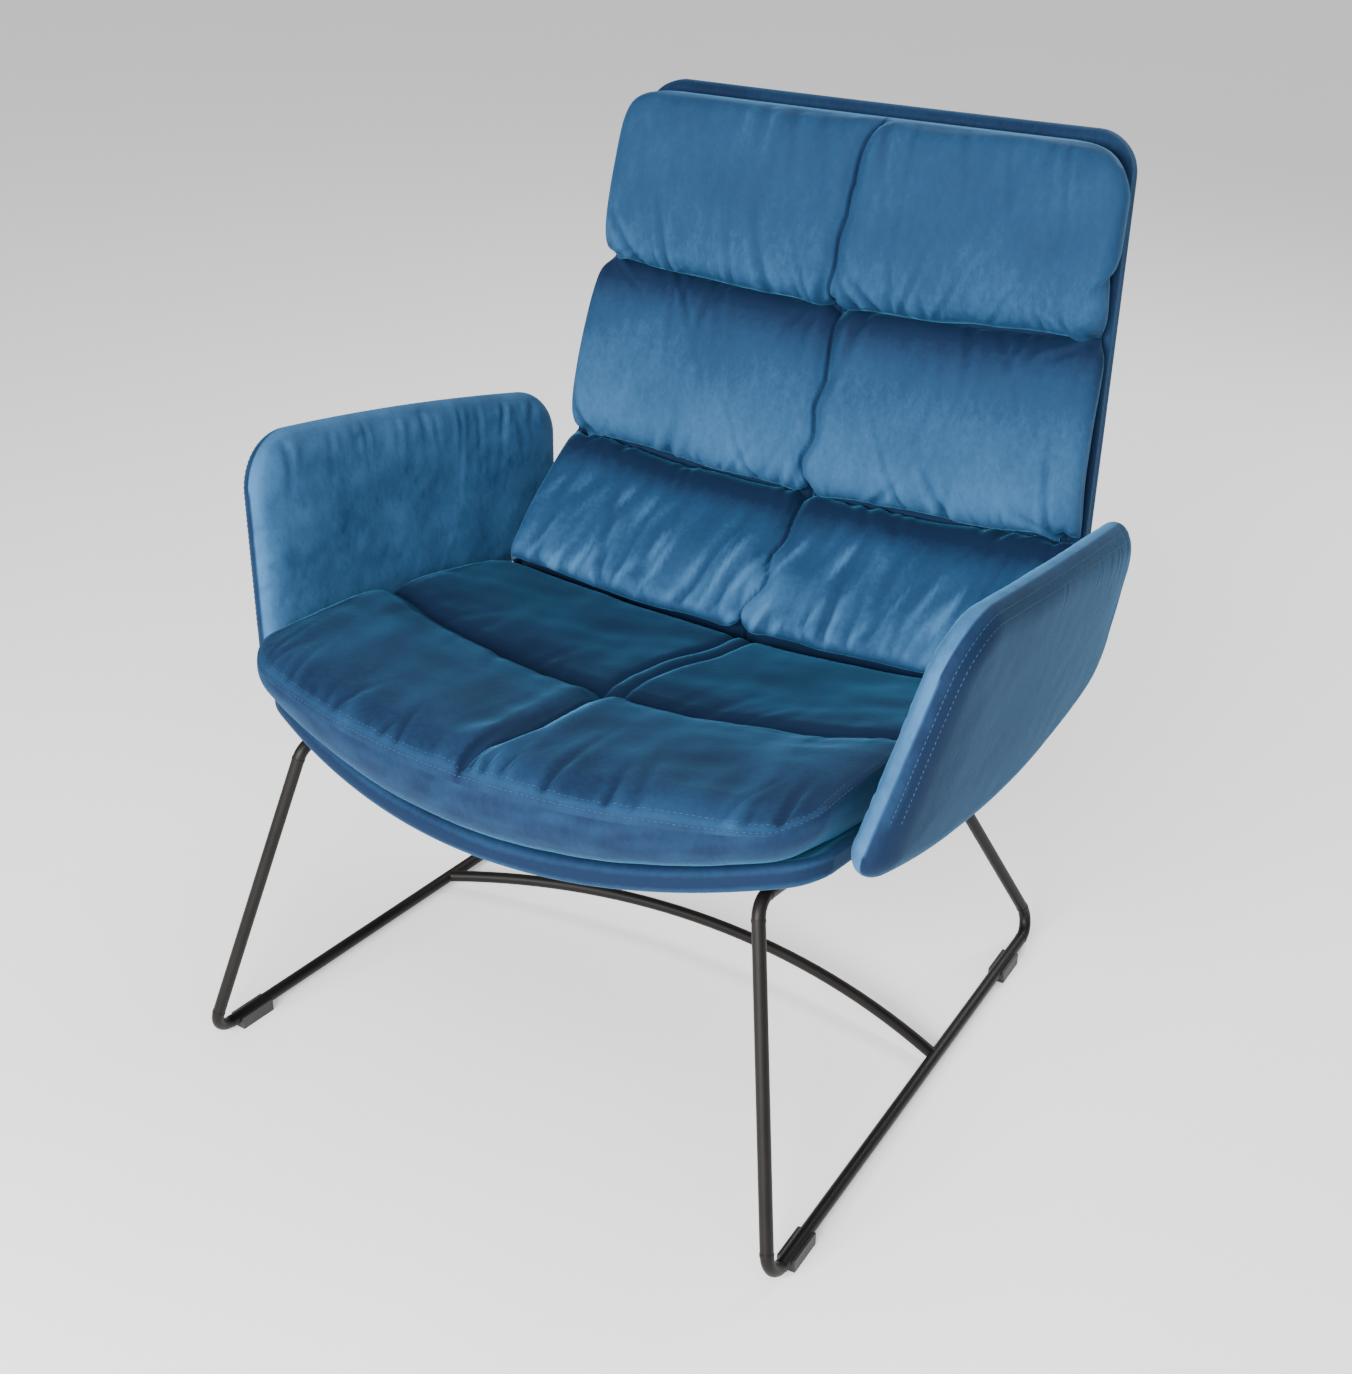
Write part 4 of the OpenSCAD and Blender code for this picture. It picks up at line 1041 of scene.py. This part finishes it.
def arm_faces(t, v, side):
    """Inner and outer faces of an arm, as points, and then their nap and painted shading."""
    seed = ARM_SEEDS[side]
    middle, height, w, d = arm_layout(t, v)
    run = t * ARM_RUN
    rise = w * height
    above = (1 - w) * height
    inner = 0.9 * field(run, rise, 110, seed) + 0.25 * field(run, rise, 42, seed + 1)
    inner += creases(run, above - 18, seed + 2, **INNER_FOLDS)
    inner += creases(rise, run - 22, seed + 3, **FRONT_EDGE_FOLDS)
    outer = 0.6 * field(run, rise, 150, seed + 4) + 0.12 * field(run, rise, 42, seed + 5)
    outer += creases(run, above - 18, seed + 6, **OUTER_FOLDS)
    seam = 1.1 * gauss((d - ARM_SEAM_D) / 1.1) + sum(0.4 * gauss((d - at) / 1.2) for at in ARM_ROWS)
    full = ARM_T / 2 * rounding(d, ARM_EDGE_R) * mix(0.94, 1.08, smooth(d / 85))
    out = np.array([math.cos(ARM_LEAN), 0, -math.sin(ARM_LEAN)])
    inside = middle - out * (full + inner * smooth(d / 22))[..., None]
    outside = middle + out * (full + outer * smooth(d / 22) - seam)[..., None]
    if side == "left":
        for face in (inside, outside):
            face[..., 0] *= -1
    return inside, outside, *arm_nap_and_shading(run, rise, d, side)


def make_arm(side):
    """One arm: a padded panel in velvet."""
    t = spaced(0, 1, step=0.0085, edge=0.075, count=14)
    v = spaced(0, 1, step=0.016, edge=0.12, count=14)
    t, v = np.meshgrid(t, v, indexing="ij")
    inside, outside, nap_and_shading_in, nap_and_shading_out = arm_faces(t, v, side)
    # mirroring turns the left arm's faces inside out, so its two grids change places
    if side == "left":
        return pillow("arm_left", outside, inside, nap_and_shading_out, nap_and_shading_in, VELVET["arm"])
    return pillow("arm_right", inside, outside, nap_and_shading_in, nap_and_shading_out, VELVET["arm"])


def arm_outer_point(run, above, side):
    """A point of the arm's outer face, at a distance run from its front and above from its top."""
    t = run / ARM_RUN
    height = arm_layout(t, t * 0)[1]
    low, high = arm_insets(run)
    v = (height - above - low) / (height - low - high)
    return arm_faces(t, v, side)[1]


def arm_stitches(side, at):
    """A row up the front and along the top of an arm's outer face, at a distance at from its outline."""
    front_r, rear_r = ARM_TOP_RADII
    turn = np.linspace(0, math.pi / 2, 30)[1:-1]
    drop = np.linspace(ARM_STITCH_DROP, front_r, 70)
    top_run = np.linspace(front_r, ARM_RUN - rear_r, 160)
    run = np.concatenate([
        np.full_like(drop, at),
        front_r - (front_r - at) * np.cos(turn),
        top_run,
        ARM_RUN - rear_r + (rear_r - at) * np.sin(turn),
    ])
    above = np.concatenate([
        drop,
        front_r - (front_r - at) * np.sin(turn),
        np.full_like(top_run, at),
        rear_r - (rear_r - at) * np.cos(turn),
    ])
    return surface_row(lambda a, b: arm_outer_point(a, b, side), run, above, 1.0)


# --- Camera, light and floor ---

# the camera's place in metres, with y from the front feet, and its turn to the left and tilt down
CAMERA_PLACE = (1.0648, -1.2705, 1.3981)
CAMERA_TURN = 32.6
CAMERA_TILT = 27.26
LENS = 52.297
SENSOR = 36
FLOOR_SIZE = 80
FLOOR_GLOW = 0.3
ROOM_LIGHT = 0.5


def make_camera():
    data = bpy.data.cameras.new("camera")
    camera = bpy.data.objects.new("camera", data)
    bpy.context.scene.collection.objects.link(camera)
    camera.location = (CAMERA_PLACE[0], CAMERA_PLACE[1] - MID_Y * MM, CAMERA_PLACE[2])
    camera.rotation_euler = (math.radians(90 - CAMERA_TILT), 0, math.radians(CAMERA_TURN))
    data.sensor_width = SENSOR
    data.lens = LENS
    bpy.context.scene.camera = camera


def area_light(name, place, target, size, power, colour):
    """A soft rectangular lamp at a place, facing a target; metres and watts."""
    data = bpy.data.lights.new(name, "AREA")
    data.shape = "RECTANGLE"
    data.size = size[0]
    data.size_y = size[1]
    data.energy = power
    data.color = colour
    lamp = bpy.data.objects.new(name, data)
    bpy.context.scene.collection.objects.link(lamp)
    lamp.location = place
    direction = np.array(target) - np.array(place)
    yaw = math.atan2(direction[1], direction[0])
    pitch = math.atan2(direction[2], math.hypot(direction[0], direction[1]))
    lamp.rotation_euler = (math.pi / 2 + pitch, 0, yaw - math.pi / 2)


def make_stage():
    """An even white room, a pale floor and three soft lamps."""
    world = bpy.data.worlds.new("studio")
    world.use_nodes = True
    background = world.node_tree.nodes["Background"]
    background.inputs["Color"].default_value = (1, 1, 1, 1)
    background.inputs["Strength"].default_value = ROOM_LIGHT
    bpy.context.scene.world = world
    bpy.ops.mesh.primitive_plane_add(size=FLOOR_SIZE, location=(0, 0, 0))
    floor = bpy.context.object
    floor.name = "floor"
    material, tree, shader = node_tree("floor_look")
    grain = noise_node(tree, 3, 3)
    tones = [(0.3, (0.94, 0.94, 0.94)), (0.7, (0.96, 0.96, 0.96))]
    tree.links.new(ramp_node(tree, grain, tones), shader.inputs["Base Color"])
    shader.inputs["Roughness"].default_value = 0.9
    shader.inputs["Emission Color"].default_value = (1, 1, 1, 1)
    shader.inputs["Emission Strength"].default_value = FLOOR_GLOW
    floor.data.materials.append(material)
    area_light("key", (0.2, -2.9, 1.5), (0, 0, 0.6), (2.0, 1.2), 250, (1, 0.98, 0.95))
    area_light("fill", (1.6, -1.6, 2.4), (0, 0, 0.5), (1.2, 1.2), 22, (0.94, 0.97, 1))
    area_light("rear", (0.4, 2.2, 2.4), (0, 0.2, 0.6), (1.6, 1.0), 60, (1, 1, 1))


# --- Put together ---

make_camera()
make_stage()

for row in frame["record"]["subparts"]:
    look = CAD_LOOKS.get(row["material_slot"])
    node = frame["nodes"][row["node"]]
    if look:
        node.data.materials.clear()
        node.data.materials.append(look)

shell = make_shell()
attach(shell, "chair")
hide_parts("shell_inner_foam", "shell_outer_foam", "shell_inner_cover", "shell_outer_cover")

pad = make_pad()
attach(pad, "chair")
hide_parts("back_pad_filling", "back_pad_front_cover", "back_pad_rear_cover")

cushion = make_cushion()
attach(cushion, "seat_cushion")
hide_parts("seat_cushion_filling", "seat_cushion_top_cover", "seat_cushion_border_cover")

for side in ("left", "right"):
    arm = make_arm(side)
    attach(arm, "chair")
    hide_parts(*[f"arm_{layer}_{side}" for layer in ARM_LAYERS])


def add_stitches(name, row, outward, body):
    """Stitches along a row, on the side of the surface that outward points to."""
    line, normal = row
    facing = np.sign((normal * outward).sum(-1)).mean()
    piece = stitches(name, line, normal * np.sign(facing), THREAD)
    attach(piece, body)


for number, at in enumerate(CUSHION_ROWS, 1):
    name = f"cushion_stitches_{number}"
    add_stitches(name, cushion_stitches(at), (0, -0.5, 1), "seat_cushion")
for side, turned in (("left", -1), ("right", 1)):
    for number, at in enumerate(ARM_ROWS, 1):
        name = f"arm_stitches_{side}_{number}"
        add_stitches(name, arm_stitches(side, at), (turned, 0, 0), "chair")
